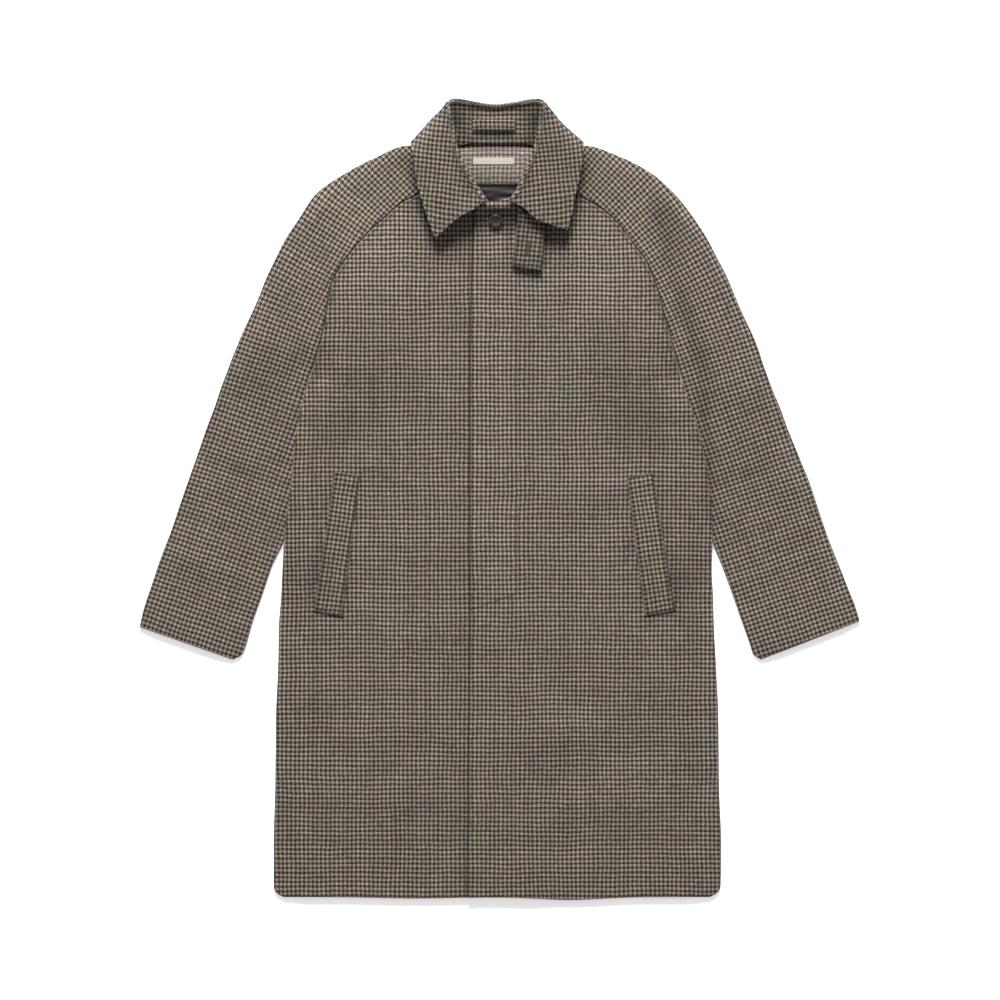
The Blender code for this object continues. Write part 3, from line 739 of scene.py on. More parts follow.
def over_edge_x(y):
    return read_column(FRONT_EDGE, y)


def change_nap(obj, change):
    """Works out a piece's painted light and shade anew, from what it is at each place."""
    for point, v in zip(obj.data.attributes[PAINTED_LIGHT_FIELD].data, obj.data.vertices):
        point.value = change(point.value, *on_table(v.co))


# Painted shade on the under front beside the over front's edge.
def painted_shade_beside_edge(nap, x, y):
    return nap + BESIDE_EDGE_PAINTED_SHADE * math.exp(-((x - over_edge_x(y)) / BESIDE_EDGE_SHADE_HALF) ** 2)


# Painted light on the strip over the hidden buttons, fading beyond the row and at its foot.
def painted_light_on_fly(nap, x, y):
    return nap + FLY_PAINTED_LIGHT * smooth(1 - (x - FLY_X) / FLY_FADE) * smooth((y - FLY_SLANT[1]) / FLY_RISE)


front_under = front("under_front", LEFT, under_edge_x, front_low)
front_over = front("over_front", RIGHT, over_edge_x, over_low)
change_nap(front_under, painted_shade_beside_edge)
change_nap(front_over, painted_light_on_fly)
back_panel = back()
for piece in (front_under, front_over, back_panel):
    print(piece.name, len(piece.data.polygons), "faces")

# %% [markdown]
# ## The sleeves
# A raglan sleeve runs up to the neck. Its grain is straight along the arm and turns over the shoulder, which the
# check makes plain to see. So the texture follows a curve along the sleeve, and not the table: how far along the
# curve a place lies, and how far to its side. Front and back halves meet at the outer fold and at the underarm.

# %% Grain of the sleeves
# A line along the middle of the sleeve that the grain follows, cuff first. Columns: x, y.
GRAIN_LINE = {
    LEFT: ((-447, -260), (-384, -77), (-321, 106), (-264, 262), (-196, 380), (-96, 480), (-10, 560)),
    RIGHT: ((443, -260), (381, -77), (318, 106), (262, 262), (190, 380), (88, 480), (0, 555)),
}
GRAIN_STEPS = 240


def grain_along(line):
    """Texture coordinates along and beside a curved line, in metres."""
    at = distances(line)
    points = [read_rows(line, at, at[-1] * k / GRAIN_STEPS) for k in range(GRAIN_STEPS + 1)]
    run = distances(points)

    def uv_of(x, y):
        k = min(range(GRAIN_STEPS + 1), key=lambda n: (points[n][0] - x) ** 2 + (points[n][1] - y) ** 2)
        k = min(max(k, 1), GRAIN_STEPS - 1)
        (x0, y0), (x1, y1) = points[k - 1], points[k + 1]
        length = math.hypot(x1 - x0, y1 - y0)
        along = (x1 - x0) / length, (y1 - y0) / length
        return grain_beside(x - points[k][0], y - points[k][1], *along, run[k])

    return uv_of


print("the left sleeve's grain runs", round(distances(GRAIN_LINE[LEFT])[-1]), "mm")

# %% [markdown]
# A sleeve is closed along both its edges, with some air inside, and the air goes where the sleeve is tucked under the
# body. Above the underarm it opens up to the raglan seam, as the front beside it does.

# %% Sleeve shells
SLEEVE_COLUMNS = 26
AIR_RUN = 0.2         # the share of a sleeve's width over which its halves part from an edge
SEAM_SHARE = 0.4      # up to this share of the width, the air is that of the raglan seam


def sleeve_air(share, flat):
    """The air between the sleeve's halves; share runs from the inner edge, 0, to the outer edge, 1."""
    inner = smooth((share - AIR_RUN * flat) / AIR_RUN)
    return inner * smooth((1 - share) / AIR_RUN)


def sleeve(name, side, half):
    """One half of a sleeve, neck to cuff; its rows run from the inner edge to the outer edge."""
    first = 0 if half == "front" else 2
    table = [(row[4], row[5], row[first], row[first + 1]) for row in reversed(RAGLAN[side])]
    table += SLEEVE[side]
    at = distances(table)
    grid = []
    for place in steps_between_borders(at[-1], round(at[-1] / PITCH), WALL):
        outer_x, outer_y, inner_x, inner_y = read_rows(table, at, place)
        length = math.dist((outer_x, outer_y), (inner_x, inner_y))
        tucked = smooth((inner_y - TUCK_END_Y) / (APEX_Y - TUCK_END_Y))
        tucked *= smooth((SLEEVE_OPEN_Y - inner_y) / SLEEVE_OPEN_RUN)
        row = []
        for d in steps_between_borders(length, SLEEVE_COLUMNS, WALL):
            share = d / length
            x, y = between((inner_x, inner_y), (outer_x, outer_y), share + (1 - share) * SEAM_ALONG_ROW / length)
            low = fall_lift(x, y) + underarm_lift(x, y)
            if half == "front":
                air = sleeve_air(share, tucked)
                if inner_y > UNDERARM_Y:
                    near_seam = 1 - smooth((share - SEAM_SHARE) / AIR_RUN)
                    air = max(air, seam_opening(inner_y) * near_seam)
                low += WALL + EDGE_GAP + (LOFT - EDGE_GAP + creases(x, y)) * air
                kinds = (body_edge_kind(inner_y, CLOSED_TOP, SEWN), CLOSED_TOP)
            else:
                kinds = (body_edge_kind(inner_y, CLOSED_UNDER, SEWN_UNDER), CLOSED_UNDER)
            borders = [(d, kinds[0]), (length - d, kinds[1]), (place, PLAIN), (at[-1] - place, TURNED)]
            beside_seam = -raglan_stitch(d, inner_y) - 2 * SEAM_STITCH if half == "front" else FAR_FROM_STITCHES
            row.append((x, y, low, borders, (beside_seam, FAR_FROM_STITCHES)))
        grid.append(row)
    return shell(name, grid, WALL, grain_along(GRAIN_LINE[side]))


sleeves = {}
for where, side in (("left", LEFT), ("right", RIGHT)):
    for half in ("back", "front"):
        sleeves[half, where] = sleeve(f"{where}_sleeve_{half}", side, half)
print("sleeve faces:", [len(piece.data.polygons) for piece in sleeves.values()])

# %% [markdown]
# ## The collar
# The collar stands up round the neck, rolls over and falls outwards. It is one folded wall, so one lofted sheet
# makes it: sections from its base up the stand, over the roll and down the fall, joined by curves along its
# length, and then given its thickness. At the back the fall lies under the coat, because the coat lies on it.

# %% Stations round the neck
# One half at a time, from its front end round to the centre back. Columns: base x, y; top of the fold x, y, z; edge
# of the fall x, y, and z, or below 0 how far it stands off the cloth; direction in which the fold rolls, in
# degrees; how far the fall is tucked under, from 0 to 1; how far the middle of the fall bows outwards.
COLLAR_LEFT = (
    (-28, 398, -21, 400, 33.5, -87, 351, -16.5, 215, 0.0, 3),
    (-32, 401, -32, 417, 32, -95, 373, -16.5, 205, 0.0, 0),
    (-46, 413, -45, 438, 31.5, -104, 400, -16.0, 195, 0.0, 0),
    (-58, 430, -56, 459, 30.5, -111, 425, -13.0, 188, 0.0, 0),
    (-65, 447, -63, 480, 31, -115, 450, -11.0, 182, 0.0, 0),
    (-69, 461, -66, 503, 32, -117, 467, -8.0, 178, 0.0, 0),
    (-71, 468, -68.5, 519, 32.5, -118.5, 475.5, 14.0, 170, 0.1, 0),
    (-71, 474, -69.5, 527.5, 32.5, -119.5, 480.5, 11.0, 153, 0.35, 2),
    (-68, 478, -66.5, 532.5, 32, -118, 480.2, 2.6, 130, 0.6, 3),
    (-61, 478, -60, 534, 30, -115, 475.5, 1.25, 107, 0.85, 0),
    (-50, 478, -49, 533, 24, -103, 464, 1.25, 95, 1.0, 0),
    (-36, 480, -34, 530.5, 17, -77, 452, 1.25, 92, 1.0, 0),
    (-6, 480, -6, 527.5, 12.5, -6, 444, 1.25, 90, 1.0, 0),
)
COLLAR_RIGHT = (
    (24, 398, 16, 400, 33.5, 91, 362, -16.5, -35, 0.0, 6),
    (26, 400, 27, 416, 32, 97, 383, -16.5, -25, 0.0, 2),
    (38, 412, 35.5, 436, 31.5, 101, 406, -16.0, -15, 0.0, 0),
    (50, 429, 45, 457, 30.5, 106, 427, -13.0, -8, 0.0, 0),
    (57, 446, 52, 480, 31, 110, 449, -11.0, -2, 0.0, 0),
    (61, 460, 56, 503, 32, 112, 465, -8.0, 2, 0.0, 0),
    (63, 467, 58, 519, 32.5, 112.5, 475, 14.0, 10, 0.1, 0),
    (63, 473, 59, 527.5, 32.5, 113, 480, 11.0, 27, 0.35, 0),
    (60, 477, 56, 532.5, 32, 111.5, 479.8, 2.6, 50, 0.6, 0),
    (53, 478, 49.5, 534, 30, 109, 475, 1.25, 73, 0.85, 0),
    (42, 478, 37, 533, 24, 95, 463, 1.25, 85, 1.0, 0),
    (27, 480, 22, 530.5, 17, 68, 452, 1.25, 88, 1.0, 0),
)
print("stations on each half of the collar:", len(COLLAR_LEFT), len(COLLAR_RIGHT))

# %% [markdown]
# Three helpers are needed first: a piece's surface that can be felt, how high the cloth below a place is, and a
# smooth curve through points in space.

# %% Feeling for the cloth below
def surface_of(obj):
    bpy.context.view_layer.update()
    return BVHTree.FromObject(obj, bpy.context.evaluated_depsgraph_get())


def top_at(x, y, surfaces):
    """The height of the highest of some surfaces at a place, in millimetres."""
    best = 0.0
    for tree in surfaces:
        hit = tree.ray_cast(Vector((x * MM, (y - MIDDLE_Y) * MM, 1.0)), Vector((0, 0, -1)))[0]
        if hit is not None:
            best = max(best, hit.z / MM)
    return best


def curve_through(points, steps):
    """A smooth curve through points in space, with some steps for each stretch."""
    ends = [2 * points[0] - points[1], *points, 2 * points[-1] - points[-2]]
    out = []
    for k in range(1, len(ends) - 2):
        p0, p1, p2, p3 = ends[k - 1: k + 3]
        for i in range(steps[k - 1]):
            t = i / steps[k - 1]
            square = 2 * p0 - 5 * p1 + 4 * p2 - p3
            cube = 3 * p1 - p0 - 3 * p2 + p3
            out.append(0.5 * (2 * p1 + (p2 - p0) * t + square * t ** 2 + cube * t ** 3))
    out.append(points[-1].copy())
    return out


print("steps between three points:", len(curve_through([Vector((k, 0, 0)) for k in range(3)], (4, 4))) - 1)

# %% [markdown]
# Each station becomes a section of eight leading points. Between them the collar is rounded off twice: along its
# length, and then across each section.

# %% Collar surface
ROLL = 3.6            # radius of the collar's fold
STAND_RISE = 2.1      # from the cloth below to the middle of the stand's lower edge
LYING = COLLAR_WALL / 2 + 0.1  # the middle of the collar's wall where the fall lies on the floor
FOLD_AT = 3           # the fold's number among a section's points
SECTION_STEPS = (3, 5, 4, 4, 4, 6, 10)
STATION_STEPS = 7
AROUND_BASE = ((0, 0), (3, 0), (-3, 0), (0, 3), (0, -3))  # where the cloth below a base is felt
# The points beside a section's fold. A second number is what it changes by where the fall is tucked under.
INNER_DROP = 0.9      # the inner one lies so far below the fold, in radii
OUTER_DROP = (0.5, 0.4)
MIDDLE_AT = (0.5, -0.08)  # the middle of the fall, as a share of the way from the fold to its edge
MIDDLE_LIFT = 1.0     # how far it stands up
SHOULDER_AT = 0.2     # the point where the fall turns downwards, as such a share
SHOULDER_OUT = 0.6    # how far further out it lies, in radii
SHOULDER_HIGH = 0.6   # its height, as a share of the way from the middle of the fall up to the outer point
SHOULDER_DROP = 2.6   # and how far it is below the fold where the fall is tucked under, in radii


def collar_section(station, surfaces):
    """The eight leading points of one section, from the base over the fold to the edge of the fall."""
    base_x, base_y, fold_x, fold_y, fold_z, edge_x, edge_y, edge_z, roll_angle, tucked, bow = station
    roll = Vector((math.cos(math.radians(roll_angle)), math.sin(math.radians(roll_angle)), 0))
    carried = max(top_at(base_x + dx, base_y + dy, surfaces) for dx, dy in AROUND_BASE)
    carried = max(carried, fall_lift(base_x, base_y) + WALL)
    base = Vector((base_x, base_y, carried + STAND_RISE))
    fold = Vector((fold_x, fold_y, fold_z))
    if edge_z < 0:
        edge_z = top_at(edge_x, edge_y, surfaces) - edge_z
    edge = Vector((edge_x, edge_y, edge_z))
    inside = fold - roll * ROLL - Vector((0, 0, INNER_DROP * ROLL))
    outside = fold + roll * ROLL - Vector((0, 0, (OUTER_DROP[0] + OUTER_DROP[1] * tucked) * ROLL))
    stand = base.lerp(inside, 0.5)
    middle = fold.lerp(edge, MIDDLE_AT[0] + MIDDLE_AT[1] * tucked)
    across = Vector((edge.y - fold.y, fold.x - edge.x, 0)).normalized()
    middle += across * bow * (1 if across.dot(roll) + 0.5 * (across.y < 0) > 0 else -1)
    middle.z = (middle.z + MIDDLE_LIFT) * (1 - tucked) + LYING * tucked
    shoulder = fold.lerp(edge, SHOULDER_AT) + roll * ROLL * SHOULDER_OUT
    height = outside.z * SHOULDER_HIGH + middle.z * (1 - SHOULDER_HIGH)
    shoulder.z = height * (1 - tucked) + (fold_z - SHOULDER_DROP * ROLL) * tucked
    return [base, stand, inside, fold, outside, shoulder, middle, edge]


top_layer = [surface_of(obj) for obj in (front_under, front_over, sleeves["front", "left"],
                                         sleeves["front", "right"], back_panel)]
stations = [*COLLAR_LEFT, *reversed(COLLAR_RIGHT)]
leading = [collar_section(station, top_layer) for station in stations]
across_lines = [curve_through(points, (STATION_STEPS,) * (len(stations) - 1)) for points in zip(*leading)]
collar_rows = [curve_through(list(points), SECTION_STEPS) for points in zip(*across_lines)]
print("collar sections:", len(collar_rows), "of", len(collar_rows[0]), "points")

# %% [markdown] The rows become one sheet, and Solidify gives it a wall with round edges.

# %% Collar shell
LEAF_GRAIN = 6.5      # degrees by which the check leans on each leaf
LEAN_FROM = (-3.0, 430.0)  # the collar's middle, and the height about which the check leans
LEAN_HALF = 40.0      # the half width over which it comes to lean
AHEAD = 4             # the fall runs from the fold towards the point this many further on
STEEP = 0.15          # a step that shows less than this share of its length from above keeps its direction
RIM_SHARE = 0.42      # the width of a rim's rounding, in walls


def unrolled(points, fold, forward):
    """Flat places of the points of one section, going both ways from its fold."""
    flat = [None] * len(points)
    flat[fold] = Vector((points[fold].x, points[fold].y))
    for run, ahead in ((range(fold + 1, len(points)), forward), (range(fold - 1, -1, -1), -forward)):
        heading = ahead.copy()
        last = fold
        for k in run:
            step = points[k] - points[last]
            plan = Vector((step.x, step.y))
            if plan.dot(heading) < 0:
                plan = -plan
            if plan.length > STEEP * step.length:
                heading = plan.normalized()
            flat[k] = flat[last] + heading * step.length
            last = k
    return flat


def collar_grain(rows, fold):
    """Texture coordinates for each point of the collar, metres, leaning one way on each leaf."""
    out = []
    for row in rows:
        ahead = Vector((row[fold + AHEAD].x - row[fold].x, row[fold + AHEAD].y - row[fold].y)).normalized()
        flat = unrolled(row, fold, ahead)
        lean = math.radians(LEAF_GRAIN) * max(-1.0, min(1.0, (row[fold].x - LEAN_FROM[0]) / LEAN_HALF))
        for k, place in enumerate(flat):
            angle = lean if k > fold else 0.0
            x, y, c, s = place.x, place.y - LEAN_FROM[1], math.cos(angle), math.sin(angle)
            out.append(((x * c + y * s) * MM, (y * c - x * s) * MM))
    return out


def wall_modifier(obj, wall):
    """Thickness on both sides of a sheet, with its rim rounded."""
    thick = obj.modifiers.new("wall", "SOLIDIFY")
    thick.thickness = wall * MM
    thick.offset = 0
    rim = obj.modifiers.new("rim", "BEVEL")
    rim.width = RIM_SHARE * wall * MM
    rim.segments = 3
    rim.limit_method = "ANGLE"
    rim.angle_limit = math.radians(60)


def applied(obj):
    """The piece as a plain mesh, with its modifiers worked in."""
    bpy.context.view_layer.update()
    mesh = bpy.data.meshes.new_from_object(obj.evaluated_get(bpy.context.evaluated_depsgraph_get()))
    mesh.name = obj.name
    obj.modifiers.clear()
    obj.data = mesh
    mesh.shade_smooth()
    return obj


print("a level step stays", unrolled([Vector((0, 0, 0)), Vector((2, 0, 0))], 0, Vector((1, 0)))[1].x, "long")

# %% [markdown]
# The two leaves catch the light differently, and the inside of the stand differently again, so each is painted
# with its own share of the cloth's brightness, as painted shade on the leaves and painted light inside the stand.

# %% The collar's sheet
# Lines of painted shade on the collar, beside its fold. Columns as for the creases.
COLLAR_PAINTED_SHADE_LINES = ((-62, 462, -38, 412, 8, -0.20), (-60, 500, -57, 520, 7, -0.25), (50, 500, 48, 520, 7, -0.30),
                (46, 440, 30, 408, 6, -0.10))
LEAF_PAINTED_SHADE = (0.90, 0.82)  # painted shade on the left leaf and the right, as shares of the cloth's brightness
NECK_HALF = 40.0      # the half width over which one leaf's painted shade becomes the other's
STAND_PAINTED_LIGHT = ((-5, 508, 46, 24, 0.24),)  # a patch of painted light inside the stand; columns as for the swells


# The painted light and shade on the collar at a place.
def collar_nap(x, y):
    left, right = LEAF_PAINTED_SHADE
    leaf = left + (right - left) * smooth((x + NECK_HALF) / (2 * NECK_HALF))
    return leaf + ridges(x, y, COLLAR_PAINTED_SHADE_LINES) + bumps(x, y, STAND_PAINTED_LIGHT)


fold_index = sum(SECTION_STEPS[:FOLD_AT])
for row in collar_rows:
    for point in row:
        point.z = max(point.z, LYING)
points_across = len(collar_rows[0])
corners = [j * points_across + i for j in range(len(collar_rows) - 1) for i in range(points_across - 1)]
collar = new_object(
    "collar_shell",
    [in_frame(*point) for row in collar_rows for point in row],
    faces=[(k, k + points_across, k + points_across + 1, k + 1) for k in corners],
)
grain_layer(collar.data, collar_grain(collar_rows, fold_index))
for title in STITCH_FIELDS:
    point_field(collar.data, title, [FAR_FROM_STITCHES] * len(collar.data.vertices))
# each point of the collar takes its painted light and shade
point_field(collar.data, PAINTED_LIGHT_FIELD, [collar_nap(*on_table(v.co)) for v in collar.data.vertices])
wall_modifier(collar, COLLAR_WALL)
applied(collar)
print("collar faces:", len(collar.data.polygons))

# %% [markdown]
# ## What is sewn on
# The welts, the tab, the facing, the lining, the label and the hanging loop are small flat pieces. Each takes the
# shape of what it lies on: its points are dropped onto the pieces below and lifted by the cloth's thickness.

# %% Small pieces
LAID_GAP = 0.45
WELT_WALL = 1.8
WELT_LEFT = ((-222, 38), (-189, 31), (-211, -160), (-251, -151))
WELT_RIGHT = ((172, 28), (206, 35), (237, -151), (196, -158))
TAB_WALL = 2.8
TAB = ((25, 390), (62, 380), (57, 305), (16, 313))
FACING_WALL = 1.4
FACING = ((-58, 472), (51, 472), (35, 424), (-46, 424))
LINING_WALL = 1.0
LINING = ((-44, 423), (33, 423), (26, 384), (-30, 384))
LABEL_WALL = 0.6
LABEL = ((-36, 460), (19.5, 460), (19.5, 451), (-36, 451))
LOOP_WALL = 3.6
LOOP = ((-37, 511), (21, 511), (21, 496.5), (-37, 496.5))
LOOP_BOW = 1.6
LOOP_TILT = 0.6       # its lower edge stands off more than its upper one
LOOP_LOWER_PAINTED_LIGHT = -0.70     # and gets painted light towards it
TAB_LIFT = (4.0, 5.5)  # how far the tab's free end stands off, and how much more its sewn end
FACING_TILT = 2.0     # the facing swells a little towards the neck's opening
FACING_LOWER_PAINTED_SHADE = 0.24    # and is painted darker towards its lower edge, as painted shade
SEWN_IN = 2.6         # from the edge of a small piece to its stitches
TAB_PAINTED_SHADE, FACING_PAINTED_LIGHT, WELT_PAINTED_SHADE, LOOP_PAINTED_SHADE = 0.82, 1.18, 0.97, 0.68  # painted light and shade on each small piece, as a share of the cloth's brightness
# Soft folds in the lining. Columns: centre x, y; half sizes x, y; height.
LINING_FOLDS = ((-20, 416, 30, 3.6, 1.4), (14, 412, 22, 3.4, 1.6), (-14, 408, 9, 4, 1.5), (10, 402, 14, 3.5, 1.6),
                (-10, 395, 12, 3.0, 1.3), (16, 391, 8, 3.0, 1.2))
print("small pieces lie", LAID_GAP, "mm above the cloth")

# %% [markdown] One helper lays any of them down.

# %% Laying a piece down
def leaning_grain(corners):
    """Texture coordinates that follow a four-cornered piece's own left edge."""
    top_left, _, _, low_left = corners
    dx, dy = top_left[0] - low_left[0], top_left[1] - low_left[1]
    length = math.hypot(dx, dy)
    return lambda x, y: grain_beside(x - low_left[0], y - low_left[1], dx / length, dy / length)


def laid_on(name, corners, surfaces, wall, pitch=2.5, uv_of=straight_grain, bow=0.0, sewn_in=None, lift=None, nap=1.0,
            painted_fade=0.0):
    """A four-cornered piece, given from its top left clockwise, that lies on surfaces. bow raises its middle, lift
    raises a place by its x, y and share up the piece, sewn_in is how far inside its edges it is stitched, and
    nap and painted_fade are the light or shade painted on it and how much of that it loses towards its lower edge."""
    top_left, top_right, low_right, low_left = corners
    width = math.dist(top_left, top_right)
    length = math.dist(top_left, low_left)
    middle = sum(c[0] for c in corners) / 4
    half = max(abs(c[0] - middle) for c in corners)
    grid = []
    for place in steps_between_borders(length, round(length / pitch), wall):
        left = between(low_left, top_left, place / length)
        right = between(low_right, top_right, place / length)
        row = []
        for d in steps_between_borders(width, round(width / pitch), wall):
            x, y = between(left, right, d / width)
            low = top_at(x, y, surfaces) + LAID_GAP + bow * smooth(2 * (1 - abs(x - middle) / half))
            if lift:
                low += lift(x, y, place / length)
            borders = [(far, ROLLED) for far in (d, width - d, place, length - place)]
            inside = min(d, width - d, place, length - place)
            sewn = (-SEAM_STITCH - inside, inside - sewn_in) if sewn_in else NO_STITCHES
            row.append((x, y, low, borders, sewn))
        grid.append(row)
    piece = shell(name, grid, wall, uv_of)
    low_y, high_y = low_left[1], top_left[1]
    change_nap(piece, lambda old, x, y: old * (nap * (1 - painted_fade * (1 - (y - low_y) / (high_y - low_y)))))
    return piece


print("60 mm up the tab its grain reads", round(leaning_grain(TAB)(TAB[3][0], TAB[3][1] + 60)[1], 4), "m")

# %% [markdown]
# Each piece is laid on the one below it, so the label comes after the facing, and the loop after the collar.

# %% The small pieces laid
under_top, over_top, back_top = surface_of(front_under), surface_of(front_over), surface_of(back_panel)
welt_left = laid_on("left_pocket_welt", WELT_LEFT, [under_top], WELT_WALL, uv_of=leaning_grain(WELT_LEFT),
                    sewn_in=SEWN_IN, nap=WELT_PAINTED_SHADE)
welt_right = laid_on("right_pocket_welt", WELT_RIGHT, [over_top], WELT_WALL, uv_of=leaning_grain(WELT_RIGHT),
                     sewn_in=SEWN_IN, nap=WELT_PAINTED_SHADE)
tab = laid_on("tab", TAB, [over_top], TAB_WALL, uv_of=leaning_grain(TAB), sewn_in=SEWN_IN, nap=TAB_PAINTED_SHADE,
              lift=lambda x, y, up: TAB_LIFT[0] + TAB_LIFT[1] * up)
facing = laid_on("neck_facing", FACING, [back_top], FACING_WALL, nap=FACING_PAINTED_LIGHT, painted_fade=FACING_LOWER_PAINTED_SHADE,
                 lift=lambda x, y, up: FACING_TILT * (1 - up))
lining = laid_on("lining", LINING, [back_top], LINING_WALL, pitch=1.4,
                lift=lambda x, y, up: bumps(x, y, LINING_FOLDS))
label = laid_on("woven_label", LABEL, [surface_of(facing)], LABEL_WALL)
loop = laid_on("hanging_loop", LOOP, [surface_of(collar)], LOOP_WALL, pitch=1.5, bow=LOOP_BOW, nap=LOOP_PAINTED_SHADE,
               painted_fade=LOOP_LOWER_PAINTED_LIGHT, lift=lambda x, y, up: LOOP_TILT * (1 - up))
print("small pieces:", welt_left.name, tab.name, loop.name)

# %% [markdown]
# ## The neck button
# A horn button is turned on a lathe, so its section is drawn once and spun round, as Blender's Screw modifier does.
# The holes are drilled through it afterwards. It leans with the cloth, which rolls up towards the neck here.

# %% Horn button
BUTTON_CENTRE = (-5.3, 375.3)
# Half the button's section. Columns: radius, height.
BUTTON_SECTION = ((0, 2.4), (5.6, 2.4), (6.6, 3.3), (8.2, 3.5), (9.2, 2.7), (9.3, 1.6), (7.6, 0.2), (0, 0))
BUTTON_SIDES = 48
HOLE_RADIUS = 1.0
HOLE_PITCH = 3.2
BUTTON_STAND = 1.0    # the thread holds it off the cloth
SLOPE_REACH = 7.0     # how far above and below its middle the cloth's slope is taken
DRILL_SIDES, DRILL_DEPTH = 12, 12.0


def drilled(obj):
    """Four holes through a button."""
    cutters = bmesh.new()
    for dx in (-0.5, 0.5):
        for dy in (-0.5, 0.5):
            hole = bmesh.ops.create_cone(cutters, cap_ends=True, segments=DRILL_SIDES, radius1=HOLE_RADIUS * MM,
                                         radius2=HOLE_RADIUS * MM, depth=DRILL_DEPTH * MM)
            bmesh.ops.translate(cutters, verts=hole["verts"], vec=(dx * HOLE_PITCH * MM, dy * HOLE_PITCH * MM, 0))
    drill = new_object("drill", [])
    cutters.to_mesh(drill.data)
    cutters.free()
    cut = obj.modifiers.new("holes", "BOOLEAN")
    cut.object = drill
    applied(obj)
    bpy.data.objects.remove(drill)


button = new_object("neck_button", [(r * MM, 0, z * MM) for r, z in BUTTON_SECTION],
                    edges=[(k, k + 1) for k in range(len(BUTTON_SECTION) - 1)])
spin = button.modifiers.new("turned", "SCREW")
spin.steps = spin.render_steps = BUTTON_SIDES
spin.use_merge_vertices = True
spin.merge_threshold = 0.00001
spin.use_normal_calculate = True
drilled(button)
button_x, button_y = BUTTON_CENTRE
ends = [top_at(button_x, button_y + reach, [over_top]) for reach in (-SLOPE_REACH, SLOPE_REACH)]
lean = math.atan2(ends[1] - ends[0], 2 * SLOPE_REACH)
button_place = Matrix.Translation(in_frame(button_x, button_y, sum(ends) / 2 + BUTTON_STAND))
button_place @= Matrix.Rotation(lean, 4, "X")
button.data.transform(button_place)
print("button leans", round(math.degrees(lean), 1), "degrees;", len(button.data.polygons), "faces")

# %% [markdown]
# ## The check cloth
# The cloth is a small houndstooth: four dark and four light yarns both ways, woven two over and two under. A weaver
# would get the pattern from just that rule, so the material does too: at each place it asks which yarn is on top,
# and takes that yarn's colour. Everything else, the fuzz, the uneven dye and the raised yarns, is laid over it.

# %% Words for building a material
def set_input(tree, node, key, value):
    """Links a socket to a node's input, or sets the input to a plain value."""
    if isinstance(value, bpy.types.NodeSocket):
        tree.links.new(value, node.inputs[key])
    else:
        node.inputs[key].default_value = value


def add_node(tree, kind, values=None, **settings):
    """A new node with its settings and its inputs."""
    node = tree.nodes.new(kind)
    for key, value in settings.items():
        setattr(node, key, value)
    for key, value in (values or {}).items():
        set_input(tree, node, key, value)
    return node


class Nodes:
    """Short words for building a material's tree."""

    def __init__(self, name):
        self.material = bpy.data.materials.new(name)
        self.material.use_nodes = True
        self.tree = self.material.node_tree
        self.shader = self.tree.nodes["Principled BSDF"]
        self.add = partial(add_node, self.tree)

    def math(self, operation, *values):
        return self.add("ShaderNodeMath", dict(enumerate(values)), operation=operation).outputs[0]

    def vector(self, operation, values):
        return self.add("ShaderNodeVectorMath", values, operation=operation).outputs[0]

    def mix(self, share, a, b, blend="MIX"):
        node = self.add("ShaderNodeMix", {"Factor": share, 6: a, 7: b}, data_type="RGBA", blend_type=blend)
        return node.outputs[2]

    def noise(self, where, scale, detail=2.0, rough=0.5, out="Fac"):
        values = {"Vector": where, "Scale": scale, "Detail": detail, "Roughness": rough}
        return self.add("ShaderNodeTexNoise", values).outputs[out]

    def field(self, name):
        return self.add("ShaderNodeAttribute", attribute_name=name).outputs["Fac"]

    def finish(self, **sockets):
        """Sets or links sockets of the shader, whose names are given with _ for a space."""
        for key, value in sockets.items():
            set_input(self.tree, self.shader, key.replace("_", " "), value)
        return self.material


print("a material is built with", [word for word in vars(Nodes) if not word.startswith("_")])

# %% [markdown]
# The pattern itself comes first. Real cloth is never quite straight, so the place is moved a little by a slow noise
# before it is asked for its yarns: that gives the check lines their slight wander.

# %% Yarns of the check
REPEAT = 8            # yarns before the pattern starts again, half of them light
OVER = 2              # a yarn goes over this many and under as many
YARN_ACROSS = 5.82 / REPEAT * MM
YARN_ALONG = 6.28 / REPEAT * MM
OVER_DARK_WARP = 0.80  # how much of a light yarn's brightness shows among dark ones, by direction
OVER_DARK_WEFT = 0.68
WANDER = 0.0085       # how far a place is moved, at most
WANDER_NOISE = (9.0, 5.0, 0.55)  # lumps for each metre, detail, roughness


def wandering_place(n):
    """A place in the cloth's own grain, moved a little."""
    grain = n.add("ShaderNodeUVMap", uv_map="grain").outputs[0]
    wander = n.noise(grain, *WANDER_NOISE, out="Color")
    moved = n.vector("SCALE", {0: n.vector("SUBTRACT", {0: wander, 1: (0.5, 0.5, 0.5)}), "Scale": WANDER})
    return grain, n.vector("ADD", {0: grain, 1: moved})


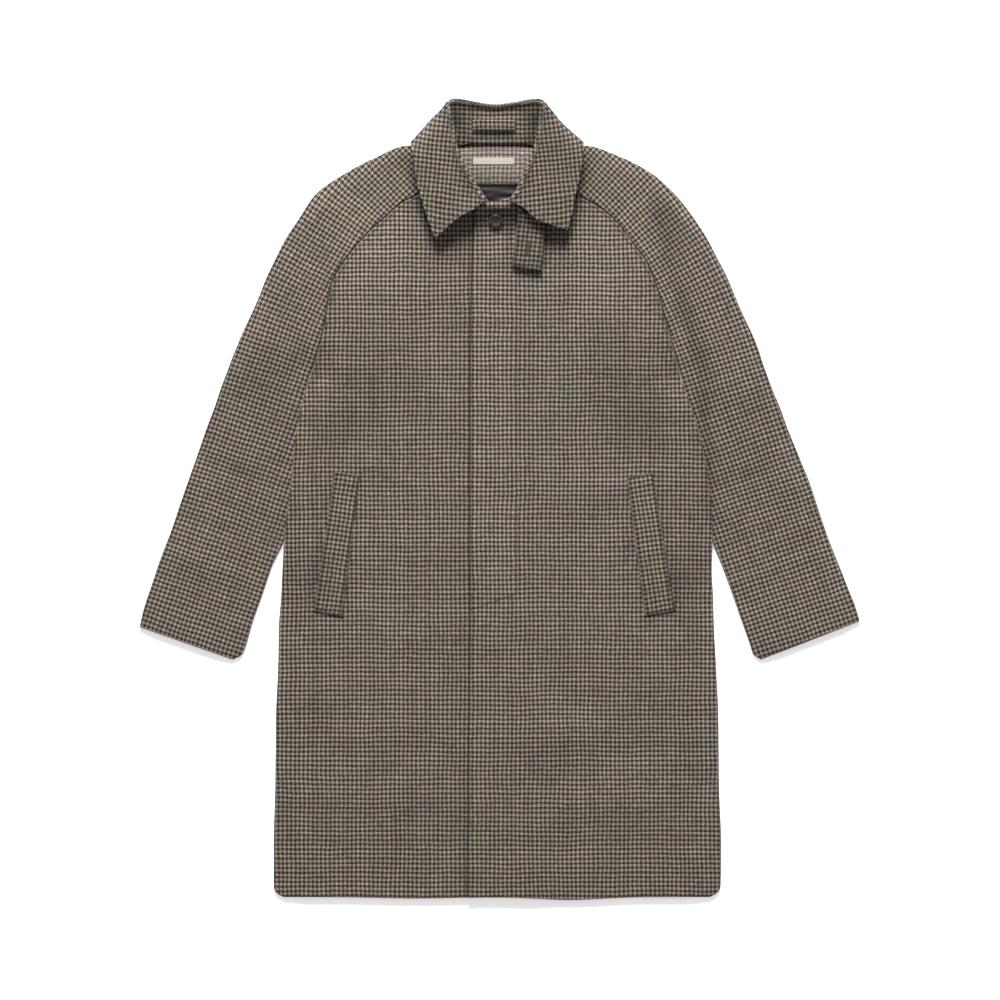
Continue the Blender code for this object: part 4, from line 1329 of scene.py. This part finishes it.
def yarns(n, place):
    """The yarns at a place: where across and along, which of each, whether the warp is on top, and how light."""
    axes = n.add("ShaderNodeSeparateXYZ", {0: place})
    across = n.math("DIVIDE", axes.outputs[0], YARN_ACROSS)
    along = n.math("DIVIDE", axes.outputs[1], YARN_ALONG)
    warp, weft = n.math("FLOOR", across), n.math("FLOOR", along)
    warp_light = n.math("LESS_THAN", n.math("FLOORED_MODULO", warp, REPEAT), REPEAT / 2)
    weft_light = n.math("LESS_THAN", n.math("FLOORED_MODULO", weft, REPEAT), REPEAT / 2)
    warp_up = n.math("LESS_THAN", n.math("FLOORED_MODULO", n.math("ADD", warp, weft), 2 * OVER), OVER)
    weft_up = n.math("SUBTRACT", 1.0, warp_up)
    warp_shows = n.math("MULTIPLY_ADD", weft_light, 1 - OVER_DARK_WEFT, OVER_DARK_WEFT)
    weft_shows = n.math("MULTIPLY_ADD", warp_light, 1 - OVER_DARK_WARP, OVER_DARK_WARP)
    warp_part = n.math("MULTIPLY", n.math("MULTIPLY", warp_up, warp_light), warp_shows)
    weft_part = n.math("MULTIPLY", n.math("MULTIPLY", weft_up, weft_light), weft_shows)
    return across, along, warp, weft, warp_up, weft_up, n.math("ADD", warp_part, weft_part)


print("one check is", round(REPEAT * YARN_ACROSS / MM, 2), "x", round(REPEAT * YARN_ALONG / MM, 2), "mm")

# %% [markdown]
# Seams and rows of stitches are pressed into the cloth. The shells carry two signed distances for them, and the
# material turns each into a narrow dark dent: one where the distance is 0, and one at the seam itself. A mark far
# from both is kept for the line of painted shade beside the over front's edge.

# %% Dents along seams and stitches
DENT_HALF = 1.5       # half the width of the dent along a row of stitches, in millimetres
DENT_DARK = 0.60
SEAM_HALF = 2.1
SEAM_DARK = 0.62
SHADE_LINE_HALF = 3.0        # of the line of painted shade beside the over front's edge
# how dark that line of painted shade is
SHADE_LINE_DARK = 0.75
SHADE = (0.012, 0.009, 0.007, 1)


def groove(n, distance, middle, half_width):
    """1 at the middle of a groove and 0 beyond its half width."""
    away = n.math("ABSOLUTE", n.math("SUBTRACT", distance, middle))
    return n.math("MAXIMUM", n.math("MULTIPLY_ADD", away, -1 / half_width, 1.0), 0.0)


def pressed_lines(n):
    """The dents along stitches, and the seams with the line of painted shade beside the over front's edge."""
    beside_seam, beside_edge = (n.field(title) for title in STITCH_FIELDS)
    dent = n.math("MAXIMUM", groove(n, beside_seam, 0.0, DENT_HALF), groove(n, beside_edge, 0.0, DENT_HALF))
    # the line of painted shade beside the over front's edge
    lap = n.math("MULTIPLY", groove(n, beside_edge, SHADE_LINE_MARK, SHADE_LINE_HALF), SHADE_LINE_DARK)
    seam = n.math("MULTIPLY", groove(n, beside_seam, -SEAM_STITCH, SEAM_HALF), SEAM_DARK)
    return dent, n.math("MAXIMUM", seam, lap)


print("a dent is", 2 * DENT_HALF, "mm wide")

# %% [markdown]
# Last come the colour and the light on it. Wool yarn is uneven: some of it is thicker, some took less dye, and the
# nap blurs the borders between yarns. The yarns stand a little proud of each other, which a bump gives.

# %% Check cloth
LIGHT_YARN = (0.228, 0.195, 0.166, 1)
DARK_YARN = (0.0120, 0.0072, 0.0020, 1)
PATCHES = ((18.0, 0.35), (62.0, 0.40), (190.0, 0.55))  # lumps for each metre, and how uneven they make the cloth
YARN_UNEVEN = 0.30    # from yarn to yarn
FUZZ = (1500.0, 3.0, 0.75)  # the noise of single hairs: lumps for each metre, detail, roughness
SLUB = (430.0, 2.0, 0.6)    # and of thick and thin places in a yarn
FUZZ_BLUR = 0.30      # how much the hairs blur light and dark yarns
BRIGHTEST = 1.1       # how light they can make a place, against a light yarn
SLUB_UNEVEN = 1.8
WARP_DYE, WEFT_DYE = 0.5, 700.5  # where the two sets of yarns read their random dye
TINT_LUMPS, TINT = 27.0, 0.06  # a slow change of hue
HAIR_HEIGHT, SLUB_HEIGHT, DENT_HEIGHT = 1.4, 1.2, -3.0  # against a yarn's own height of 1
FACING_YARNS = ((0.240, 0.206, 0.176, 1), (0.050, 0.041, 0.032, 1))  # the facing shows the cloth's paler wrong side


def about_zero(n, value, amount):
    """A noise made even about 0 and scaled."""
    return n.math("MULTIPLY", n.math("SUBTRACT", value, 0.5), amount)


def yarn_dye(n, number, offset):
    place = {"W": n.math("ADD", number, offset)}
    return n.add("ShaderNodeTexWhiteNoise", place, noise_dimensions="1D").outputs["Value"]


def check_cloth(name, light_yarn, dark_yarn):
    n = Nodes(name)
    grain, place = wandering_place(n)
    across, along, warp, weft, warp_up, weft_up, light = yarns(n, place)
    fuzz, slub = n.noise(place, *FUZZ), n.noise(place, *SLUB)
    soft = n.math("ADD", light, about_zero(n, fuzz, FUZZ_BLUR))
    soft = n.math("MAXIMUM", n.math("MINIMUM", soft, BRIGHTEST), 0.0)
    strength = n.math("ADD", 1.0, about_zero(n, slub, SLUB_UNEVEN))
    for scale, amount in PATCHES:
        strength = n.math("ADD", strength, about_zero(n, n.noise(place, scale), amount))
    for dye in (yarn_dye(n, warp, WARP_DYE), yarn_dye(n, weft, WEFT_DYE)):
        strength = n.math("ADD", strength, about_zero(n, dye, YARN_UNEVEN))
    # the painted light and shade of each place scale its brightness
    strength = n.math("MULTIPLY", strength, n.field(PAINTED_LIGHT_FIELD))
    colour = n.vector("SCALE", {0: n.mix(soft, dark_yarn, light_yarn), "Scale": strength})
    tint = n.vector("SCALE", {0: n.noise(grain, TINT_LUMPS, 1.0, out="Color"), "Scale": 2.0})
    colour = n.mix(1.0, colour, n.mix(TINT, (1, 1, 1, 1), tint), "MULTIPLY")
    dent, seam = pressed_lines(n)
    colour = n.mix(n.math("MULTIPLY", dent, DENT_DARK), colour, SHADE)
    # the seams, and the line of painted shade beside the over front's edge
    colour = n.mix(seam, colour, SHADE)

    warp_round = n.math("ABSOLUTE", n.math("SINE", n.math("MULTIPLY", across, math.pi)))
    weft_round = n.math("ABSOLUTE", n.math("SINE", n.math("MULTIPLY", along, math.pi)))
    height = n.math("ADD", n.math("MULTIPLY", warp_up, warp_round), n.math("MULTIPLY", weft_up, weft_round))
    for detail, amount in ((fuzz, HAIR_HEIGHT), (slub, SLUB_HEIGHT), (dent, DENT_HEIGHT), (seam, DENT_HEIGHT)):
        height = n.math("MULTIPLY_ADD", detail, amount, height)
    bump = n.add("ShaderNodeBump", {"Strength": 0.6, "Distance": 0.0004, "Height": height}).outputs[0]
    return n.finish(Base_Color=colour, Normal=bump, Roughness=0.95, Specular_IOR_Level=0.12, Sheen_Weight=0.05,
                    Sheen_Roughness=0.6, Sheen_Tint=(0.9, 0.83, 0.74, 1))


check = check_cloth("check_cloth", LIGHT_YARN, DARK_YARN)
facing_check = check_cloth("facing_check", *FACING_YARNS)
print("material:", check.name, "of", len(check.node_tree.nodes), "nodes")

# %% [markdown]
# ## Lining, ribbon, horn and thread
# The lining is a satin, so it is dark with a soft gloss. The label is a ribbed ribbon, left bare. Horn is mottled in
# streaks and polished. The sewing thread is matt and nearly as dark as the dark yarn.

# %% The other finishes
def plain_cloth(name, colour, roughness, scale, ribs=0.0):
    """A plain weave; ribs is how far its ribs darken it."""
    n = Nodes(name)
    grain = n.add("ShaderNodeUVMap", uv_map="grain").outputs[0]
    weave = n.noise(grain, scale, 2.0, 0.6)
    axes = n.add("ShaderNodeSeparateXYZ", {0: grain})
    rib = n.math("ABSOLUTE", n.math("SINE", n.math("MULTIPLY", axes.outputs[0], RIBS)))
    shade = n.math("SUBTRACT", weave, n.math("MULTIPLY", rib, ribs))
    dark, pale = (tuple(c * share for c in colour) + (1,) for share in (0.7, 1.3))
    bump = n.add("ShaderNodeBump", {"Strength": 0.3, "Distance": 0.0002, "Height": shade}).outputs[0]
    return n.finish(Base_Color=n.mix(shade, dark, pale), Normal=bump, Roughness=roughness)


def horn_finish():
    n = Nodes("dark_horn")
    place = n.add("ShaderNodeTexCoord").outputs["Object"]
    streaks = n.noise(n.vector("MULTIPLY", {0: place, 1: STREAKED}), 260.0, 3.0, 0.6)
    return n.finish(Base_Color=n.mix(streaks, *HORN), Roughness=n.math("MULTIPLY_ADD", streaks, 0.2, 0.25))


def thread_finish():
    n = Nodes("sewing_thread")
    place = n.add("ShaderNodeTexCoord").outputs["Object"]
    twist = n.noise(place, 2500.0, 2.0, 0.6)
    return n.finish(Base_Color=n.mix(twist, *THREAD), Roughness=0.8)


RIBS = 4000.0         # radians for each metre of ribbon
STREAKED = (1.0, 3.0, 1.0)  # the streaks are this much narrower along y
HORN = ((0.008, 0.006, 0.004, 1), (0.045, 0.033, 0.020, 1))  # its darkest and palest colour
THREAD = ((0.016, 0.012, 0.009, 1), (0.06, 0.047, 0.036, 1))
charcoal = plain_cloth("charcoal_satin", (0.0120, 0.0115, 0.0104), roughness=0.42, scale=3000.0)
cream = plain_cloth("cream_ribbon", (0.330, 0.305, 0.272), roughness=0.6, scale=1500.0, ribs=0.35)
horn, thread = horn_finish(), thread_finish()
button.data.materials.clear()
button.data.materials.append(horn)
print("materials:", [m.name for m in (charcoal, cream, horn, thread)])

# %% [markdown]
# ## The sewing
# A row of stitches is one short shape repeated along a path, which is what Geometry Nodes are for. The tree below
# takes the path as loose edges, puts a point at every stitch, and sets a slim bead of thread on each one, turned
# along the path or, for a buttonhole, across it. The paths are dropped onto the cloth first.

# %% Stitch tree
def stitch_tree():
    """Stitches along loose edges. Returns the tree and its inputs' identifiers by name."""
    tree = bpy.data.node_groups.new("stitches_along_a_path", "GeometryNodeTree")
    tree.interface.new_socket("Path", in_out="INPUT", socket_type="NodeSocketGeometry")
    inputs = {}
    for title in ("Pitch", "Stitch length", "Thread radius", "Turn"):
        inputs[title] = tree.interface.new_socket(title, in_out="INPUT", socket_type="NodeSocketFloat").identifier
    tree.interface.new_socket("Stitches", in_out="OUTPUT", socket_type="NodeSocketGeometry")

    add = partial(add_node, tree)
    given = add("NodeGroupInput").outputs
    path = add("GeometryNodeMeshToCurve", {0: given["Path"]}).outputs[0]
    points = add("GeometryNodeResampleCurve", {"Curve": path, "Length": given["Pitch"]}, mode="LENGTH").outputs[0]
    tangent = add("GeometryNodeInputTangent").outputs[0]
    spun = {"Vector": tangent, "Angle": given["Turn"]}
    heading = add("ShaderNodeVectorRotate", spun, rotation_type="Z_AXIS").outputs[0]
    turned = add("FunctionNodeAlignRotationToVector", {"Vector": heading}, axis="Z").outputs[0]
    share = {2: STITCH_HALF[0], 3: STITCH_HALF[1], 8: STITCH_SEED}
    uneven = add("FunctionNodeRandomValue", share, data_type="FLOAT").outputs[1]
    half_length = add("ShaderNodeMath", {0: given["Stitch length"], 1: uneven}, operation="MULTIPLY").outputs[0]
    radius = given["Thread radius"]
    size = add("ShaderNodeCombineXYZ", {0: radius, 1: radius, 2: half_length}).outputs[0]
    bead = add("GeometryNodeMeshUVSphere", {"Segments": 6, "Rings": 5, "Radius": 1.0}).outputs[0]
    beads = {"Points": points, "Instance": bead, "Rotation": turned, "Scale": size}
    placed = add("GeometryNodeInstanceOnPoints", beads).outputs[0]
    real = add("GeometryNodeRealizeInstances", {0: placed}).outputs[0]
    done = add("GeometryNodeSetMaterial", {"Geometry": real, "Material": thread}).outputs[0]
    add("NodeGroupOutput", {0: done})
    return tree, inputs


STITCH_SEED = 7
STITCH_HALF = (0.42, 0.52)  # a stitch's half length varies between these shares of its length
stitches_along, stitch_inputs = stitch_tree()
print("inputs of the tree:", list(stitch_inputs))

# %% [markdown]
# A path is a list of places in the plan of the coat. It is divided finely, so that it follows every swell, and each
# point takes the height of the cloth below it.

# %% Sewing along a path
def dropped(path, surfaces, step=3.0, above=0.05):
    """The points of a path on top of some surfaces, in metres."""
    out = []
    for a, b in zip(path, path[1:]):
        count = max(1, round(math.dist(a, b) / step))
        out += [between(a, b, k / count) for k in range(count)]
    out.append(path[-1])
    return [in_frame(x, y, top_at(x, y, surfaces) + above) for x, y in out]


def sewn(name, paths, pitch=3.4, length=2.6, radius=0.3, turn=0.0):
    """Stitches along paths of points in metres, as one plain mesh."""
    points, edges = [], []
    for path in paths:
        edges += [(len(points) + k, len(points) + k + 1) for k in range(len(path) - 1)]
        points += path
    obj = new_object(name, points, edges)
    rows = obj.modifiers.new("stitches", "NODES")
    rows.node_group = stitches_along
    sizes = {"Pitch": pitch * MM, "Stitch length": length * MM, "Thread radius": radius * MM, "Turn": turn}
    for title, value in sizes.items():
        rows[stitch_inputs[title]] = value
    return applied(obj)


def inset(corners, by):
    """A closed path inside a four-cornered piece."""
    out = []
    for k, corner in enumerate(corners):
        to_last = Vector(corners[k - 1]) - Vector(corner)
        to_next = Vector(corners[(k + 1) % len(corners)]) - Vector(corner)
        to_last.normalize()
        to_next.normalize()
        out.append(tuple(Vector(corner) + (to_last + to_next) * by / abs(to_last.cross(to_next))))
    return out + out[:1]


print("a square inset by 1:", inset(((0, 4), (4, 4), (4, 0), (0, 0)), 1))

# %% [markdown]
# The raglan seam is sewn down on the body's side. The strip for the hidden buttons is held by a long row, which
# slants to the edge at its foot. Welts, tab and collar are stitched just inside their edges.

# %% Rows of stitches
FLY_TOP_Y = 300.0
FLY_START = (FLY_SLANT[0] + 3, FLY_SLANT[1] + 1)  # the row starts just inside the front edge
RAGLAN_START, RAGLAN_END = 6.0, 10.0  # how far short of its ends the row beside a raglan seam stops
LEAF_ROW = 2          # the collar's stitches run this many of its mesh's rows inside its edge
LEAF_FROM = 8         # and start this many points beyond the fold
LEAF_STATIONS = 6     # and end at this station, where the fall goes under the coat


def raglan_path(side, inner_x):
    table = body_rows(side)
    at = distances(table)
    first, last = at[len(SIDES)] + RAGLAN_START, at[-1] - RAGLAN_END
    count = round((last - first) / PITCH)
    rows = [read_rows(table, at, first + (last - first) * k / count) for k in range(count + 1)]
    return [across_front(row, inner_x(row[2]), SEAM_STITCH) for row in rows]


def leaf_path(rows):
    """Along the front end of one leaf of the collar and on along its edge."""
    path = rows[LEAF_ROW][fold_index + LEAF_FROM:points_across - LEAF_ROW]
    path += [row[points_across - LEAF_ROW - 1] for row in rows[LEAF_ROW + 1:LEAF_STATIONS * STATION_STEPS]]
    return [(p.x, p.y) for p in path]


collar_top = surface_of(collar)
stitched = [
    sewn("raglan_stitches", [dropped(raglan_path(LEFT, under_edge_x), [under_top]),
                             dropped(raglan_path(RIGHT, over_edge_x), [over_top])]),
    sewn("fly_stitches", [dropped([FLY_START, (FLY_X, FLY_BOTTOM_Y), (FLY_X, FLY_TOP_Y)], [over_top])]),
    sewn("welt_stitches", [dropped(inset(WELT_LEFT, SEWN_IN), [surface_of(welt_left)]),
                           dropped(inset(WELT_RIGHT, SEWN_IN), [surface_of(welt_right)])]),
    sewn("tab_stitches", [dropped(inset(TAB, SEWN_IN), [surface_of(tab)])]),
    sewn("collar_stitches", [dropped(leaf_path(rows), [collar_top]) for rows in (collar_rows, collar_rows[::-1])]),
]
print("triangles of stitches:", {piece.name: len(piece.data.polygons) for piece in stitched})

# %% [markdown]
# A worked buttonhole is a slit with dense stitches across both its lips. The button is held by thread through its
# four holes.

# %% Buttonhole and button thread
HOLE_MIDDLE = (38.4, 338.0)
HOLE_HALF_LENGTH = 9.5
HOLE_LIP = 1.5        # from the slit to the middle of the stitches on each lip
BAR_RISE = 0.1        # from the button's face to the middle of a bar of thread


def slit(beside):
    """A line along the buttonhole, to one side of its middle."""
    up = (Vector(TAB[0]) - Vector(TAB[3])).normalized()
    out = Vector((up.y, -up.x)) * beside
    middle = Vector(HOLE_MIDDLE)
    return [tuple(middle + out - up * HOLE_HALF_LENGTH), tuple(middle + out + up * HOLE_HALF_LENGTH)]


def across_holes(beside):
    """A bar of thread between two holes of the button, in metres."""
    height = BUTTON_SECTION[0][1] + BAR_RISE
    return [tuple(button_place @ Vector((end * HOLE_PITCH / 2 * MM, beside * HOLE_PITCH / 2 * MM, height * MM)))
            for end in (-1, -0.5, 0, 0.5, 1)]


tab_top = surface_of(tab)
stitched += [
    sewn("buttonhole_lips", [dropped(slit(side * HOLE_LIP), [tab_top]) for side in (-1, 1)], pitch=0.8, length=2.4,
         radius=0.42, turn=math.pi / 2),
    sewn("buttonhole_slit", [dropped(slit(0.0), [tab_top])], pitch=1.2, length=1.8, radius=0.5),
    sewn("button_thread", [across_holes(side) for side in (-1, 1)], pitch=0.6, length=1.0, radius=0.4),
]
print("sewing in", len(stitched), "pieces")

# %% [markdown]
# ## Dressing the frame
# Every piece rides on the coat's one body, stands for the plain solid it follows, and takes its finish from the
# materials made above.

# %% Pieces, bodies and cuts
# Columns: piece, node, cut width, cut length, cut area, what it rests on. All are metres.
CUTS = (
    (back_panel, "back_panel", 0.612, 1.026, 0.5206, ()),
    (front_under, "front_under", 0.345, 0.982, 0.2930, ("back_panel",)),
    (front_over, "front_over", 0.343, 0.982, 0.2880, ("back_panel", "front_under")),
    (sleeves["back", "left"], "sleeve_back_left", 0.20, 0.86, 0.0880, ()),
    (sleeves["front", "left"], "sleeve_front_left", 0.20, 0.86, 0.0880, ("sleeve_back_left",)),
    (sleeves["back", "right"], "sleeve_back_right", 0.20, 0.86, 0.0880, ()),
    (sleeves["front", "right"], "sleeve_front_right", 0.20, 0.86, 0.0880, ("sleeve_back_right",)),
    (collar, "collar", 0.15, 0.45, 0.0500, ("back_panel", "front_under", "front_over")),
    (facing, "back_neck_facing", 0.109, 0.048, 0.0045, ("back_panel",)),
    (lining, "back_lining", 0.077, 0.039, 0.0026, ("back_panel",)),
    (label, "label", 0.0555, 0.011, 0.0005, ("back_neck_facing",)),
    (welt_left, "pocket_welt_left", 0.041, 0.196, 0.0070, ("front_under",)),
    (welt_right, "pocket_welt_right", 0.042, 0.196, 0.0070, ("front_over",)),
    (tab, "throat_tab", 0.042, 0.080, 0.0031, ("front_over",)),
    (loop, "hanger_loop", 0.060, 0.0155, 0.0009, ("collar",)),
)
# The nodes whose cloth isn't the check. Columns: material, slot.
OTHER_CLOTH = {
    "back_neck_facing": (facing_check, "check_cloth"),
    "back_lining": (charcoal, "charcoal_lining"),
    "label": (cream, "cream_ribbon"),
}
for piece, node, cut_width, cut_length, cut_area, rests_on in CUTS:
    material, slot = OTHER_CLOTH.get(node, (check, "check_cloth"))
    piece.data.materials.clear()
    piece.data.materials.append(material)
    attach(piece, "root")
    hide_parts(node)
    list(rests_on)
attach(button, "root")
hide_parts("button_neck")
for piece in stitched:
    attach(piece, "root")
print("pieces dressed:", len(CUTS) + 1 + len(stitched))

# %% [markdown]
# ## The table, the light and the camera
# The photograph looks straight down on a white ground. A long lens from far above keeps the coat's outline true, as
# it is there. The light is one large soft source beyond the collar, a little to the left, and a weak even fill.

# %% Stage
GROUND = 16.0
GROUND_Z = -0.0002    # just below the coat's underside
GROUND_GLOW = 0.41    # the table is lit from inside a little, which keeps the shadows on it pale
PHOTO_WIDTH = 1.35    # metres of the table across the photograph
LENS, SENSOR = 200.0, 36.0  # millimetres
FILL = 0.45           # the strength of the even light from all round
VIEW_CENTRE = (0.0004, -0.0003)

scene = bpy.context.scene
quarters = ((-1, -1), (1, -1), (1, 1), (-1, 1))
ground = new_object("ground", [(x * GROUND / 2, y * GROUND / 2, GROUND_Z) for x, y in quarters], faces=[(0, 1, 2, 3)])
ground.data.materials.append(Nodes("pale_ground").finish(
    Base_Color=(0.9, 0.9, 0.9, 1), Roughness=0.9, Emission_Color=(1, 1, 1, 1), Emission_Strength=GROUND_GLOW))


def soft_light(name, azimuth, elevation, distance, size, power):
    """A square lamp that faces the coat's middle; its azimuth is counted from the collar towards the left."""
    data = bpy.data.lights.new(name, "AREA")
    data.shape = "SQUARE"
    data.size = size
    data.energy = power
    lamp = bpy.data.objects.new(name, data)
    a, e = math.radians(azimuth), math.radians(elevation)
    lamp.location = Vector((-math.sin(a) * math.cos(e), math.cos(a) * math.cos(e), math.sin(e))) * distance
    lamp.rotation_euler = lamp.location.to_track_quat("Z", "Y").to_euler()
    scene.collection.objects.link(lamp)


soft_light("key", azimuth=2, elevation=29, distance=6.5, size=2.6, power=1270)
world = bpy.data.worlds.new("fill")
world.use_nodes = True
sky = world.node_tree.nodes["Background"].inputs
sky["Color"].default_value, sky["Strength"].default_value = (1, 1, 1, 1), FILL
scene.world = world

lens = bpy.data.cameras.new("above")
lens.lens = LENS
lens.sensor_width = SENSOR
camera = bpy.data.objects.new("above", lens)
camera.location = (*VIEW_CENTRE, PHOTO_WIDTH * LENS / SENSOR)
camera.data.clip_end = 100
scene.collection.objects.link(camera)
scene.camera = camera
scene.view_settings.view_transform = "Standard"
